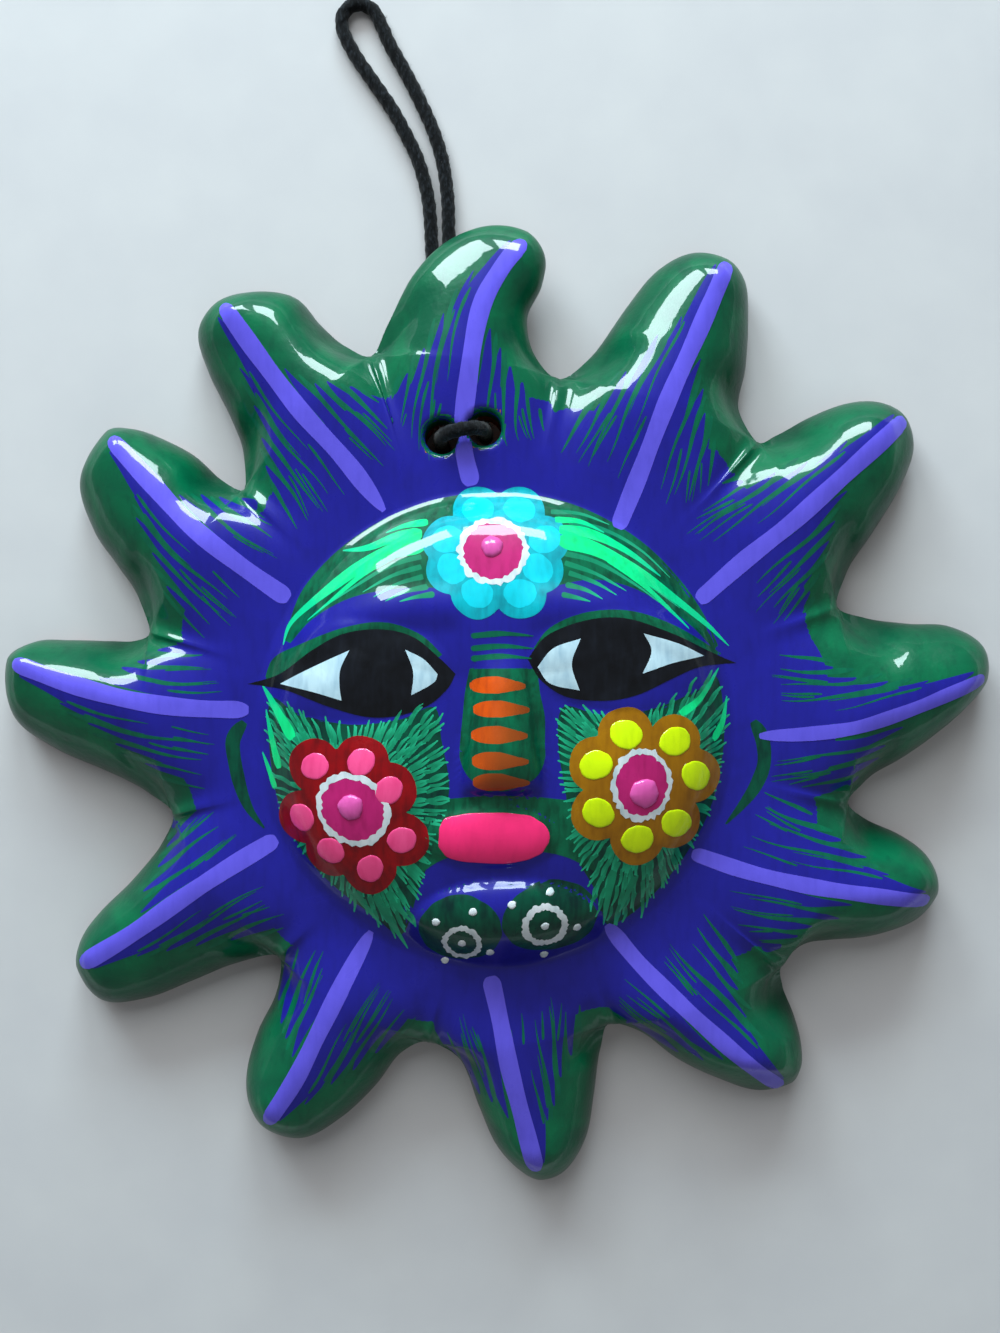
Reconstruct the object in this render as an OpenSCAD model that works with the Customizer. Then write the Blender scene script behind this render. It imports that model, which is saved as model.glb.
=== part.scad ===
// A hand painted clay sun: a raised face in a collar with twelve wavy rays, and a cord to hang it by.
// It lies on its back. X is to the right, Y is towards the top of the sun, Z is up out of the face.

/* [Face] */
// Width of the raised face
face_w = 84; // [76:1:94]
// Height of the raised face, from chin to forehead
face_h = 84; // [76:1:94]
// Rise of the face above the collar
face_rise = 10; // [7:0.5:13]
// Swell of the forehead
forehead_rise = 1.5; // [0:0.5:3]
// Rise of the nose tip
nose_rise = 6.5; // [4:0.5:9]
// Width of the nose at its wings
nose_w = 14.5; // [11:0.5:18]
// Swell of the eyes
eye_rise = 1.6; // [0.5:0.1:2.5]
// Swell of the cheeks
cheek_rise = 2; // [0:0.5:3]
// Swell of the brows
brow_rise = 1; // [0:0.25:2]
// Rise of the lips
lip_rise = 1.8; // [0.5:0.1:3]
// Rise of the chin
chin_rise = 4.5; // [2:0.5:6]

/* [Rays] */
// Width of the collar between the face and the foot of the rays
collar_w = 15; // [13:0.5:20]
// Length of a full ray beyond the collar
ray_l = 37; // [28:1:48]
// Height of the collar where it meets the face
collar_h = 15; // [13:0.5:18]
// Height of a ray's crest at its foot
crest_h = 16.5; // [14:0.5:20]
// Height of a ray's crest near its tip
tip_h = 12; // [10:0.5:15]
// Length over which a ray's tip rolls down to its rim
tip_roll = 13; // [9:0.5:18]

/* [Clay] */
// Height of the rim's widest line above the back
rim_up = 3.5; // [2.5:0.25:4.5]
// How far the back is drawn in from the rim
rim_tuck = 3; // [2:0.25:3.5]
// Height of the dished back above the table
dish_h = 4.4; // [4:0.2:5.6]
// Clay left at the crown of the face, over the hollow
wall = 7; // [5:0.5:9]
// Width of the rounded border between the hollow and the collar
hollow_margin = 6; // [4:0.5:9]
// How deep the pads under the rays are rubbed flat
pad_cut = 0.4; // [0.2:0.1:0.8]

/* [Cord] */
// Diameter of the cord
cord_d = 2.6; // [2:0.1:3]
// Diameter of the two holes
hole_d = 6; // [5:0.1:7]
// Distance between the two holes
hole_pitch = 7.6; // [7.2:0.1:8.6]
// Height of the holes above the top of the face
hole_up = 9.6; // [8.6:0.2:10.6]
// How far the holes stand to the left of the middle
hole_left = 5.6; // [4.4:0.2:6.8]

/* [Paint] */
// Thickness of one layer of paint
paint_t = 0.25; // [0.15:0.05:0.4]
// Space left between the clay and the first layer
clay_gap = 0.3; // [0.2:0.05:0.4]
// Space left between two layers
paint_gap = 0.1; // [0.05:0.05:0.15]
// Extra height in the middle of a blob
blob_rise = 0.6; // [0.2:0.1:1]
// Width of the stripe along a ray
stripe_w = 3.2; // [2:0.1:4.5]
// Radius of the flower on the forehead
brow_flower_r = 12.2; // [10:0.2:13]
// Radius of the flowers on the cheeks
cheek_flower_r = 13; // [11:0.2:14]
// Radius of a dot on a flower
dot_r = 2.1; // [1.5:0.1:2.6]
// Length of an eye from corner to corner
eye_l = 33.6; // [28:0.2:35]
// Height of an eye between its lids
eye_t = 14.4; // [12:0.2:16]
// Length of the painted mouth
mouth_l = 17.8; // [14:0.2:21]
// Height of the painted mouth
mouth_t = 8.4; // [6:0.2:10]
// Length of a bar on the nose
bar_l = 9.6; // [7:0.2:11]
// Thickness of a bar on the nose
bar_t = 2.5; // [1.8:0.1:2.9]
// Radius of the white rings on the chin
chin_ring_r = 3.4; // [2.6:0.1:4]
// Length of a light stroke round the cheeks
hatch_l = 4.6; // [3:0.2:6]
// Width of a light stroke
hatch_w = 0.9; // [0.6:0.1:1.4]
// Width of a leaf on the forehead
leaf_w = 1.8; // [1.2:0.1:2.4]

/* [Hidden] */

half_w = face_w / 2;
half_h = face_h / 2;

// Outline of the rays, clockwise from the top ray. Each row goes from the notch before a ray,
// up its first side, over its tip (the sixth point) and down its other side.
// A point is a turn in degrees and a share of the ray's length beyond the collar.
outline_shares = [
    [[108.5, 0.35], [105, 0.47], [100.5, 0.67], [96, 0.81], [91, 0.88],
     [86.5, 0.86], [84, 0.75], [84, 0.6], [85.5, 0.44], [84, 0.27]],
    [[79.5, 0.17], [75.5, 0.33], [72.5, 0.63], [70.5, 0.83], [67.5, 0.97],
     [63.5, 1.01], [60.5, 0.95], [58, 0.8], [55, 0.6], [52.5, 0.42]],
    [[47.5, 0.33], [46, 0.44], [44.5, 0.63], [42.5, 0.81], [40, 0.93],
     [37, 0.98], [33.5, 0.92], [30.5, 0.76], [27.5, 0.56], [23.5, 0.33]],
    [[19.5, 0.21], [16.5, 0.34], [14, 0.55], [12.5, 0.74], [9.5, 0.88],
     [5.5, 0.88], [2.5, 0.77], [-1.5, 0.59], [-5, 0.43], [-8.5, 0.28]],
    [[-12, 0.2], [-14, 0.33], [-15, 0.52], [-16.5, 0.66], [-19, 0.75],
     [-21.5, 0.77], [-25, 0.72], [-29, 0.57], [-32.5, 0.41], [-36, 0.29]],
    [[-40, 0.26], [-42, 0.35], [-44, 0.5], [-46, 0.62], [-48, 0.7],
     [-50.5, 0.73], [-54.5, 0.65], [-58, 0.48], [-61.5, 0.3], [-64.5, 0.11]],
    [[-69, -0.01], [-72, 0.12], [-75, 0.33], [-77.5, 0.52], [-81, 0.66],
     [-84.5, 0.69], [-87, 0.63], [-90, 0.5], [-92.5, 0.32], [-96, 0.1]],
    [[-102, 0.01], [-106, 0.11], [-108.5, 0.32], [-111.5, 0.52], [-115, 0.68],
     [-120, 0.72], [-123.5, 0.65], [-126, 0.53], [-128, 0.35], [-129.5, 0.15]],
    [[-133.5, -0.02], [-137.5, 0.17], [-140, 0.4], [-142, 0.62], [-145, 0.8],
     [-150, 0.82], [-153, 0.73], [-155, 0.59], [-157, 0.4], [-160.5, 0.2]],
    [[-165, 0.07], [-169.5, 0.19], [-173.5, 0.38], [-177, 0.61], [-181, 0.81],
     [-187.5, 0.87], [-190.5, 0.75], [-191.5, 0.59], [-192.5, 0.4], [-193.5, 0.26]],
    [[-195.5, 0.19], [-199.5, 0.3], [-203, 0.47], [-206, 0.65], [-210.5, 0.82],
     [-217, 0.85], [-219.5, 0.75], [-221, 0.6], [-222, 0.44], [-222, 0.27]],
    [[-223.5, 0.13], [-227.5, 0.29], [-229.5, 0.47], [-231, 0.7], [-233, 0.88],
     [-237, 0.94], [-241, 0.89], [-245, 0.78], [-246.5, 0.61], [-248.5, 0.46]]];

// Where each ray's crest runs, as shares of the way from its first side to its other side:
// at the face, at the foot, at two fifths of the ray and near its tip
crest_shares = [
    [0.45, 0.53, 0.64, 0.69], [0.66, 0.52, 0.54, 0.56], [0.55, 0.43, 0.45, 0.42],
    [0.66, 0.57, 0.57, 0.54], [0.73, 0.5, 0.51, 0.3], [0.7, 0.64, 0.6, 0.3],
    [0.67, 0.57, 0.62, 0.53], [0.62, 0.57, 0.55, 0.58], [0.63, 0.58, 0.64, 0.65],
    [0.64, 0.61, 0.62, 0.74], [0.6, 0.59, 0.57, 0.72], [0.7, 0.63, 0.62, 0.52]];
crest_stations = [0.4, 0.8];

// Places on the face, as shares of its half width and half height
nose_x_share = 0.03;
nose_top_share = 0.36;
nose_foot_share = -0.25;
nose_bridge_share = 0.6;
nose_start_share = 0.3;
left_eye_share = [-0.58, 0.245];
right_eye_share = [0.54, 0.285];
left_cheek_share = [-0.58, -0.3];
right_cheek_share = [0.59, -0.21];
flower_share = [0, 0.7];
lip_share = [-0.01, -0.42];
chin_share = [0.05, -0.8];
forehead_share = [0, 0.62];
// The brows: height at the nose, drop at the temple, and where they begin and end
brow_up_share = 0.5;
brow_drop_share = 0.22;
brow_bend_share = 0.25;
brow_span_share = 0.66;
brow_from_share = 0.07;
brow_to_share = 0.88;
brow_fade_share = 0.14;
brow_thick_share = 1 / 3;

// Counts of the clay's mesh
ray_count = len(outline_shares);
ray_points = len(outline_shares[0]);
seg = 4;
collar_rows = 4;
ray_rows = 11;
last_row = collar_rows + ray_rows;
side_shares = [-1, -0.9, -0.62, -0.3, 0, 0.3, 0.62, 0.9, 1];
side_n = len(side_shares) - 1;
face_ring_shares = [0.1, 0.2, 0.3, 0.39, 0.48, 0.56, 0.64, 0.72, 0.8, 0.87, 0.93, 0.98];
face_rings = len(face_ring_shares);
back_shares = [-1, -0.5, 0, 0.5, 1];
back_n = len(back_shares) - 1;
hollow_ring_shares = [0.25, 0.5, 0.72, 0.88, 0.97, 1];
hollow_rings = len(hollow_ring_shares);

function mix(a, b, t) = a + (b - a) * t;
function clamp01(t) = max(0, min(1, t));
function ease(t) = let (c = clamp01(t)) c * c * (3 - 2 * c);
function unit(v) = v / norm(v);
function sum_to(list, n) = n < 1 ? 0 : list[n - 1] + sum_to(list, n - 1);

// A point on a smooth curve through b and c, with its neighbours a and d
function curve_at(a, b, c, d, t) =
    (2 * b + (c - a) * t + (2 * a - 5 * b + 4 * c - d) * t * t
     + (3 * b - a - 3 * c + d) * t * t * t) / 2;

// Outline control points in the plane, measured from the middle of the face
function reach(turn, share) =
    [cos(turn) * (half_w + collar_w + share * ray_l),
     sin(turn) * (half_h + collar_w + share * ray_l)];
controls = [for (row = outline_shares) for (p = row) reach(p[0], p[1])];
function control(j) = controls[(j + 2 * len(controls)) % len(controls)];
function outline_at(g) = let (b = floor(g))
    curve_at(control(b - 1), control(b), control(b + 1), control(b + 2), g - b);

// One side of a ray from its foot to its tip, divided into rows by length
tip_crowding = 1.35;
function row_share(k) = 1 - pow(1 - k / ray_rows, tip_crowding);
function side_curve(start, way) =
    [for (k = [0 : ray_points / 2 * seg]) outline_at(start + way * k / seg)];
function travel(path) =
    [for (k = 0, s = 0; k < len(path);
          s = s + (k + 1 < len(path) ? norm(path[k + 1] - path[k]) : 0), k = k + 1) s];
function along(path, run, s) =
    [for (c = [0, 1]) lookup(s, [for (k = [0 : len(path) - 1]) [run[k], path[k][c]]])];
function divided(path) = let (run = travel(path), whole = run[len(run) - 1])
    [for (k = [0 : ray_rows]) along(path, run, whole * row_share(k))];
first_sides = [for (i = [0 : ray_count - 1]) divided(side_curve(i * ray_points, 1))];
other_sides = [for (i = [0 : ray_count - 1]) divided(side_curve((i + 1) * ray_points, -1))];
side_lengths = [for (i = [0 : ray_count - 1])
    sum_to([for (k = [1 : ray_rows]) norm(first_sides[i][k] - first_sides[i][k - 1])], ray_rows)];

// Share of the way across a ray at which its crest runs
function crest_share(i, r) =
    let (row = crest_shares[i], a = crest_stations[0], b = crest_stations[1], q = min(r, b))
    row[1] * (q - a) * (q - b) / (a * b)
    + row[2] * q * (q - b) / (a * (a - b))
    + row[3] * q * (q - a) / (b * (b - a));

// A point of the face's rim circle under a ray; s goes from -1 at its first side to 1 at its other
function rim_turn(i) = outline_shares[i % ray_count][0][0] - 360 * floor(i / ray_count);
function arc_point(i, s, rho) =
    let (crest = mix(rim_turn(i), rim_turn(i + 1), crest_shares[i][0]),
         a = s < 0 ? mix(crest, rim_turn(i), -s) : mix(crest, rim_turn(i + 1), s))
    [half_w * cos(a), half_h * sin(a)] * rho;
function line_point(i, k, s) =
    let (a = first_sides[i][k], b = other_sides[i][k],
         crest = mix(a, b, crest_share(i, row_share(k))))
    s < 0 ? mix(crest, a, -s) : mix(crest, b, s);
collar_crowding = 1.5;
function collar_share(row) = 1 - pow(1 - row / collar_rows, collar_crowding);
function flat_point(i, row, s) =
    row < collar_rows
    ? mix(arc_point(i, s, 1), line_point(i, 0, s), collar_share(row))
    : line_point(i, row - collar_rows, s);

// Height of the back: the top ray and the collar stand clear of the table for the cord
pad_share = 0.27;
function back_height(i, row) =
    i == 0 || row <= collar_rows ? dish_h
    : mix(dish_h, -pad_cut, ease(row_share(row - collar_rows) / pad_share));

// Heights of a ray's edge and crest, row by row
function edge_height(i, row) =
    let (rim = back_height(i, row) + rim_up)
    row < collar_rows ? rim + (collar_h - rim) * sqrt(1 - pow(collar_share(row), 3)) : rim;
function crest_height(i, row) =
    row < collar_rows ? mix(collar_h, crest_h, ease(collar_share(row)))
    : let (r = row_share(row - collar_rows),
           roll = sin(90 * min(1, (1 - r) * side_lengths[i] / tip_roll)))
      mix(edge_height(i, row), mix(crest_h, tip_h, r), roll);
ridge_power = 1.7;
side_power = 0.55;
valley_power = 1.3;
function across_power(row) = mix(valley_power, side_power, clamp01(collar_share(min(row, collar_rows))));
function ray_point(i, row, s, lift = 0) =
    let (p = flat_point(i, row, s), lo = edge_height(i, row), hi = crest_height(i, row),
         h = pow(max(0, 1 - pow(abs(s), ridge_power)), across_power(row)))
    [p.x, p.y, mix(lo, hi, h) + lift];

// The face's height at a place measured from its middle
function swell(p, at, half, power) =
    let (d = pow((p.x - at.x * half_w) / half.x, 2) + pow((p.y - at.y * half_h) / half.y, 2))
    d < 1 ? pow(1 - d, power) : 0;
function nose_height(p) =
    let (top = nose_top_share * half_h, foot = nose_foot_share * half_h,
         t = clamp01((top - p.y) / (top - foot)),
         half = mix(nose_bridge_share, 1, ease(t)) * nose_w / 2,
         a = clamp01(abs(p.x - nose_x_share * half_w) / half))
    nose_rise * ease(t / nose_start_share) * mix(nose_start_share, 1, pow(t, slope_power))
    * pow(max(0, 1 - pow(t, edge_power)), round_power) * pow(1 - a * a, soft_power);
function brow_height(p) =
    let (u = abs(p.x) / half_w, fall = clamp01((u - brow_bend_share) / brow_span_share),
         d = (p.y - half_h * (brow_up_share - brow_drop_share * fall * fall)) / (eye_t * brow_thick_share))
    brow_rise * pow(max(0, 1 - d * d), 2)
    * ease((u - brow_from_share) / brow_fade_share) * ease((brow_to_share - u) / brow_fade_share);
dome_power = 2.6;
round_power = 0.7;
soft_power = 0.9;
slope_power = 1.3;
edge_power = 8;
forehead_half = [half_w * 0.8, half_h * 0.4];
eye_half = [eye_l * 0.52, eye_t * 0.6];
cheek_half = [cheek_flower_r, cheek_flower_r] * 1.3;
lip_half = [mouth_l, mouth_t] * 0.64;
chin_half = [half_w * 0.39, half_h * 0.21];
function face_height(p) =
    let (rho = min(1, norm([p.x / half_w, p.y / half_h])), keep = 1 - pow(rho, edge_power))
    collar_h + face_rise * pow(1 - pow(rho, dome_power), round_power)
    + nose_height(p) + lip_rise * swell(p, lip_share, lip_half, round_power)
    + keep * (forehead_rise * swell(p, forehead_share, forehead_half, soft_power) + brow_height(p)
              + eye_rise * swell(p, left_eye_share, eye_half, soft_power)
              + eye_rise * swell(p, right_eye_share, eye_half, soft_power)
              + cheek_rise * swell(p, left_cheek_share, cheek_half, slope_power)
              + cheek_rise * swell(p, right_cheek_share, cheek_half, slope_power)
              + chin_rise * swell(p, chin_share, chin_half, round_power));

// The outline as the clay's mesh has it, row by row round each ray, and the same drawn in
loop_n = 2 * ray_rows;
function loop_row(m) = m <= ray_rows ? m : loop_n - m;
function loop_point(g) =
    let (j = (g + ray_count * loop_n) % (ray_count * loop_n), i = floor(j / loop_n), m = j % loop_n)
    m <= ray_rows ? first_sides[i][m] : other_sides[i][loop_n - m];
function loop_inset(g, d) =
    let (t = unit(loop_point(g + 1) - loop_point(g - 1)))
    loop_point(g) - d * [-t.y, t.x];
function loop_back(g) =
    let (i = floor(g / loop_n) % ray_count) back_height(i, collar_rows + loop_row(g % loop_n));

// The origin is under the middle of the outline
outline_loop = [for (g = [0 : ray_count * loop_n - 1]) loop_point(g)];
middle = [for (c = [0, 1])
    (min([for (p = outline_loop) p[c]]) + max([for (p = outline_loop) p[c]])) / 2];

// Vertices of the clay, in blocks: the face, the collar's rings, the rays, the tips,
// the tucked rim, the back's outline, the back's rows and the hollow
round_n = ray_count * side_n;
back_round = ray_count * back_n;
function around(i, j) = (i * side_n + j) % round_n;
face_block = [for (rho = face_ring_shares) for (i = [0 : ray_count - 1]) for (j = [0 : side_n - 1])
    let (p = arc_point(i, side_shares[j], rho)) [p.x, p.y, face_height(p)]];
collar_block = [for (row = [0 : collar_rows]) for (i = [0 : ray_count - 1]) for (j = [0 : side_n - 1])
    ray_point(i, row, side_shares[j])];
ray_block = [for (row = [collar_rows + 1 : last_row - 1]) for (i = [0 : ray_count - 1])
    for (j = [0 : side_n]) ray_point(i, row, side_shares[j])];
tip_block = [for (i = [0 : ray_count - 1]) ray_point(i, last_row, 0)];
tuck_share = 0.35;
// Where the clay would go below the table it is rubbed flat, so its outline there is wider
function foot_inset(low) = rim_tuck * (low < 0 ? mix(tuck_share, 1, 1 + low / (rim_up * tuck_share)) : 1);
tuck_block = [for (g = [0 : ray_count * loop_n - 1])
    let (p = loop_inset(g, rim_tuck * tuck_share)) [p.x, p.y, loop_back(g) + rim_up * tuck_share]];
foot_block = [for (g = [0 : ray_count * loop_n - 1])
    let (low = loop_back(g), p = loop_inset(g, foot_inset(low))) [p.x, p.y, max(0, low)]];
function back_point(i, k, s) =
    let (low = back_height(i, collar_rows + k),
         a = loop_inset(i * loop_n + k, foot_inset(low)),
         b = loop_inset(i * loop_n + loop_n - k, foot_inset(low)), p = mix(a, b, (s + 1) / 2))
    [p.x, p.y, max(0, low)];
back_block = [for (k = [0 : ray_rows - 1]) for (i = [0 : ray_count - 1])
    for (j = [1 : back_n - 1]) back_point(i, k, back_shares[j])];
hollow_top = collar_h + face_rise - wall;
function hollow_point(i, s, rho) =
    let (a = mix(rim_turn(i), rim_turn(i + 1), (s + 1) / 2),
         lift = (hollow_top - dish_h) * sqrt(max(0, 1 - pow(rho, 2.5))))
    [(half_w - hollow_margin) * rho * cos(a), (half_h - hollow_margin) * rho * sin(a), dish_h + lift];
hollow_block = [for (rho = hollow_ring_shares) for (i = [0 : ray_count - 1]) for (j = [0 : back_n - 1])
    hollow_point(i, back_shares[j], rho)];

at_collar = 1 + len(face_block);
at_ray = at_collar + len(collar_block);
at_tip = at_ray + len(ray_block);
at_tuck = at_tip + len(tip_block);
at_foot = at_tuck + len(tuck_block);
at_back = at_foot + len(foot_block);
at_hollow = at_back + len(back_block);
at_crown = at_hollow + len(hollow_block);

function face_index(ring, i, j) = 1 + ring * round_n + around(i, j);
function front_index(i, row, j) =
    row <= collar_rows ? at_collar + row * round_n + around(i, j)
    : row < last_row ? at_ray + ((row - collar_rows - 1) * ray_count + i) * (side_n + 1) + j
    : at_tip + i;
function loop_index(g) = g % (ray_count * loop_n);
function rim_index(g) =
    let (h = loop_index(g), i = floor(h / loop_n), m = h % loop_n)
    front_index(i, collar_rows + loop_row(m), m <= ray_rows ? 0 : side_n);
function back_index(i, k, j) =
    k == ray_rows ? at_foot + loop_index(i * loop_n + k)
    : j == 0 ? at_foot + loop_index(i * loop_n + k)
    : j == back_n ? at_foot + loop_index(i * loop_n + loop_n - k)
    : at_back + (k * ray_count + i) * (back_n - 1) + j - 1;
function hollow_index(ring, i, j) = at_hollow + ring * back_round + (i * back_n + j) % back_round;

// Two triangles between four corners, without those that have no area
function two(a, b, c, d) = [if (a != b && b != c && a != c) [a, b, c],
                            if (a != c && c != d && a != d) [a, c, d]];
function all_of(lists) = [for (list = lists) for (item = list) item];

function clay_faces() = all_of([
    for (i = [0 : ray_count - 1]) for (j = [0 : side_n - 1])
        [[0, face_index(0, i, j), face_index(0, i, j + 1)]],
    for (ring = [0 : face_rings - 2]) for (i = [0 : ray_count - 1]) for (j = [0 : side_n - 1])
        two(face_index(ring, i, j), face_index(ring + 1, i, j),
            face_index(ring + 1, i, j + 1), face_index(ring, i, j + 1)),
    for (i = [0 : ray_count - 1]) for (j = [0 : side_n - 1])
        two(face_index(face_rings - 1, i, j), front_index(i, 0, j),
            front_index(i, 0, j + 1), face_index(face_rings - 1, i, j + 1)),
    for (i = [0 : ray_count - 1]) for (row = [0 : last_row - 1]) for (j = [0 : side_n - 1])
        two(front_index(i, row, j), front_index(i, row + 1, j),
            front_index(i, row + 1, j + 1), front_index(i, row, j + 1)),
    for (g = [0 : ray_count * loop_n - 1])
        two(rim_index(g), at_tuck + g, at_tuck + loop_index(g + 1), rim_index(g + 1)),
    for (g = [0 : ray_count * loop_n - 1])
        two(at_tuck + g, at_foot + g, at_foot + loop_index(g + 1), at_tuck + loop_index(g + 1)),
    for (i = [0 : ray_count - 1]) for (k = [0 : ray_rows - 1]) for (j = [0 : back_n - 1])
        two(back_index(i, k, j), back_index(i, k, j + 1),
            back_index(i, k + 1, j + 1), back_index(i, k + 1, j)),
    for (i = [0 : ray_count - 1]) for (j = [0 : back_n - 1])
        two(hollow_index(hollow_rings - 1, i, j), hollow_index(hollow_rings - 1, i, j + 1),
            back_index(i, 0, j + 1), back_index(i, 0, j)),
    for (ring = [0 : hollow_rings - 2]) for (i = [0 : ray_count - 1]) for (j = [0 : back_n - 1])
        two(hollow_index(ring, i, j), hollow_index(ring, i, j + 1),
            hollow_index(ring + 1, i, j + 1), hollow_index(ring + 1, i, j)),
    for (i = [0 : ray_count - 1]) for (j = [0 : back_n - 1])
        [[at_crown, hollow_index(0, i, j + 1), hollow_index(0, i, j)]]]);

hole_tilt = 10.5;
hole_centres = [for (side = [-0.5, 0.5])
    [-hole_left + side * hole_pitch * cos(hole_tilt),
     half_h + hole_up + side * hole_pitch * sin(hole_tilt)]];

module to_origin() {
    translate([-middle.x, -middle.y, 0]) children();
}

// The clay, pierced for the cord
module clay_sun() {
    vertices = [[0, 0, face_height([0, 0])], each face_block, each collar_block, each ray_block,
                each tip_block, each tuck_block, each foot_block, each back_block,
                each hollow_block, [0, 0, hollow_top]];
    color("seagreen")
        to_origin()
            difference() {
                polyhedron(points = vertices, faces = clay_faces());
                for (at = hole_centres)
                    translate([at.x, at.y, -collar_h])
                        cylinder(d = hole_d, h = crest_h * 3, $fn = 48);
            }
}

// Layers of paint, counted from the clay outwards
function under(layer) = clay_gap + layer * (paint_t + paint_gap);
function over(layer) = under(layer) + paint_t;

// A place in the paint is [x, y, underside, top]
function on_face(p, layer, crown = 0) = let (z = face_height(p))
    [p.x, p.y, z + under(layer), z + over(layer) + crown];
function on_ray(i, row, s, layer) = let (p = ray_point(i, row, s))
    [p.x, p.y, p.z + under(layer), p.z + over(layer)];
function place(share) = [share.x * half_w, share.y * half_h];
function places(shares) = [for (share = shares) place(share)];

// The corners of the undersides and the tops as points of one solid
function corners(list) = concat([for (p = list) [p[0], p[1], p[3]]], [for (p = list) [p[0], p[1], p[2]]]);

// A closed solid over rows of places, each row to the right of the one before it
module slab(grid) {
    rows = len(grid);
    cols = len(grid[0]);
    size = rows * cols;
    edge = concat([for (c = [0 : cols - 1]) c],
                  [for (r = [1 : rows - 1]) r * cols + cols - 1],
                  [for (c = [cols - 2 : -1 : 0]) (rows - 1) * cols + c],
                  [for (r = [rows - 2 : -1 : 1]) r * cols]);
    polyhedron(
        points = corners(all_of(grid)),
        faces = all_of([
            for (r = [0 : rows - 2]) for (c = [0 : cols - 2])
                let (a = r * cols + c) two(a, a + 1, a + cols + 1, a + cols),
            for (r = [0 : rows - 2]) for (c = [0 : cols - 2])
                let (a = size + r * cols + c) two(a, a + cols, a + cols + 1, a + 1),
            for (k = [0 : len(edge) - 1])
                let (a = edge[k], b = edge[(k + 1) % len(edge)]) two(a, a + size, b + size, b)]));
}

// A closed solid over clockwise loops of places, the widest first, round one place in the middle
module disc(loops, centre) {
    n = len(loops[0]);
    inmost = len(loops) - 1;
    size = len(loops) * n + 1;
    polyhedron(
        points = corners(concat(all_of(loops), [centre])),
        faces = all_of([for (k = [0 : n - 1]) let (m = (k + 1) % n) concat(
            all_of([for (a = [0 : n : inmost * n - 1]) two(a + k, a + m, a + n + m, a + n + k)]),
            all_of([for (a = [size : n : size + inmost * n - 1]) two(a + k, a + n + k, a + n + m, a + m)]),
            [[inmost * n + k, inmost * n + m, size - 1],
             [size + inmost * n + m, size + inmost * n + k, 2 * size - 1]],
            two(k, size + k, size + m, m))]));
}

// A closed ring of clockwise loops of places, the widest first
module band(loops) {
    n = len(loops[0]);
    inmost = (len(loops) - 1) * n;
    size = inmost + n;
    polyhedron(
        points = corners(all_of(loops)),
        faces = all_of([for (k = [0 : n - 1]) let (m = (k + 1) % n, b = size + inmost) concat(
            all_of([for (a = [0 : n : inmost - 1]) two(a + k, a + m, a + n + m, a + n + k)]),
            all_of([for (a = [size : n : b - 1]) two(a + k, a + n + k, a + n + m, a + m)]),
            two(k, size + k, size + m, m), two(inmost + k, inmost + m, b + m, b + k))]));
}

// A patch of paint on the face: an outline, and the same drawn in towards its middle
flat_shares = [1, 0.5];
wide_shares = [1, 0.7, 0.35];
module patch(outline, at, layer, shares, crown = 0) {
    disc([for (share = shares) [for (p = outline)
             on_face(mix(at, p, share), layer, crown * (1 - share * share))]],
         on_face(at, layer, crown));
}
module ring(outline, inline, layer) {
    band([for (loop = [outline, inline]) [for (p = loop) on_face(p, layer)]]);
}

// Paint between two edges that run from left to right
module between(top_shares, low_shares, steps, rows, layer) {
    top = smooth_path(places(top_shares), steps);
    low = smooth_path(places(low_shares), steps);
    slab([for (r = [0 : rows]) [for (k = [0 : len(top) - 1]) on_face(mix(top[k], low[k], r / rows), layer)]]);
}

// A brush stroke along a path, full for its first part and then thinner to a point
least_share = 0.15;
module stroke(path, width, full_share, layer) {
    n = len(path);
    slab([for (side = [1, -1]) [for (k = [0 : n - 1])
        let (t = unit(path[min(k + 1, n - 1)] - path[max(k - 1, 0)]),
             q = clamp01((k / (n - 1) - full_share) / (1 - full_share)))
        on_face(path[k] + side * mix(1, least_share, q) * width / 2 * [-t.y, t.x], layer)]]);
}

// Clockwise outlines, and smooth curves through chosen points
function ellipse(at, half, n) = [for (k = [0 : n - 1]) let (a = -360 * k / n)
    at + [half.x * cos(a), half.y * sin(a)]];
function smooth_loop(points, steps) = let (n = len(points))
    [for (i = [0 : n - 1]) for (k = [0 : steps - 1])
        curve_at(points[(i + n - 1) % n], points[i], points[(i + 1) % n], points[(i + 2) % n], k / steps)];
function neighbour(points, i) = let (n = len(points))
    i < 0 ? 2 * points[0] - points[1] : i < n ? points[i] : 2 * points[n - 1] - points[n - 2];
function smooth_path(points, steps) = concat(
    [for (i = [0 : len(points) - 2]) for (k = [0 : steps - 1])
        curve_at(neighbour(points, i - 1), points[i], points[i + 1], neighbour(points, i + 2), k / steps)],
    [points[len(points) - 1]]);
function total(list, n) = n == 0 ? list[0] : list[n] + total(list, n - 1);
function centre_of(points) = total(points, len(points) - 1) / len(points);

// Blue over the collar and the rays, narrower towards each tip
field_rows = [0, 1, 2, 3, 4, 5, 6, 8, 10, 12];
field_width_shares = [0.99, 0.99, 0.97, 0.92, 0.9, 0.88, 0.82, 0.7, 0.56, 0.36];
field_inner_shares = [0.62, 0.3, 0];
field_squeeze_share = 0.85;
function field_sides(w) = let (
    inner = [for (s = field_inner_shares) min(s, w * (s > 0.5 ? field_squeeze_share : 0.5))])
    [-w, -inner[0], -inner[1], 0, inner[1], inner[0], w];
module ray_fields() {
    color("mediumblue")
        to_origin()
            for (i = [0 : ray_count - 1])
                slab([for (j = [0 : 6]) [for (k = [0 : len(field_rows) - 1])
                    on_ray(i, field_rows[k], field_sides(field_width_shares[k])[j], 0)]]);
}

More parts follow.
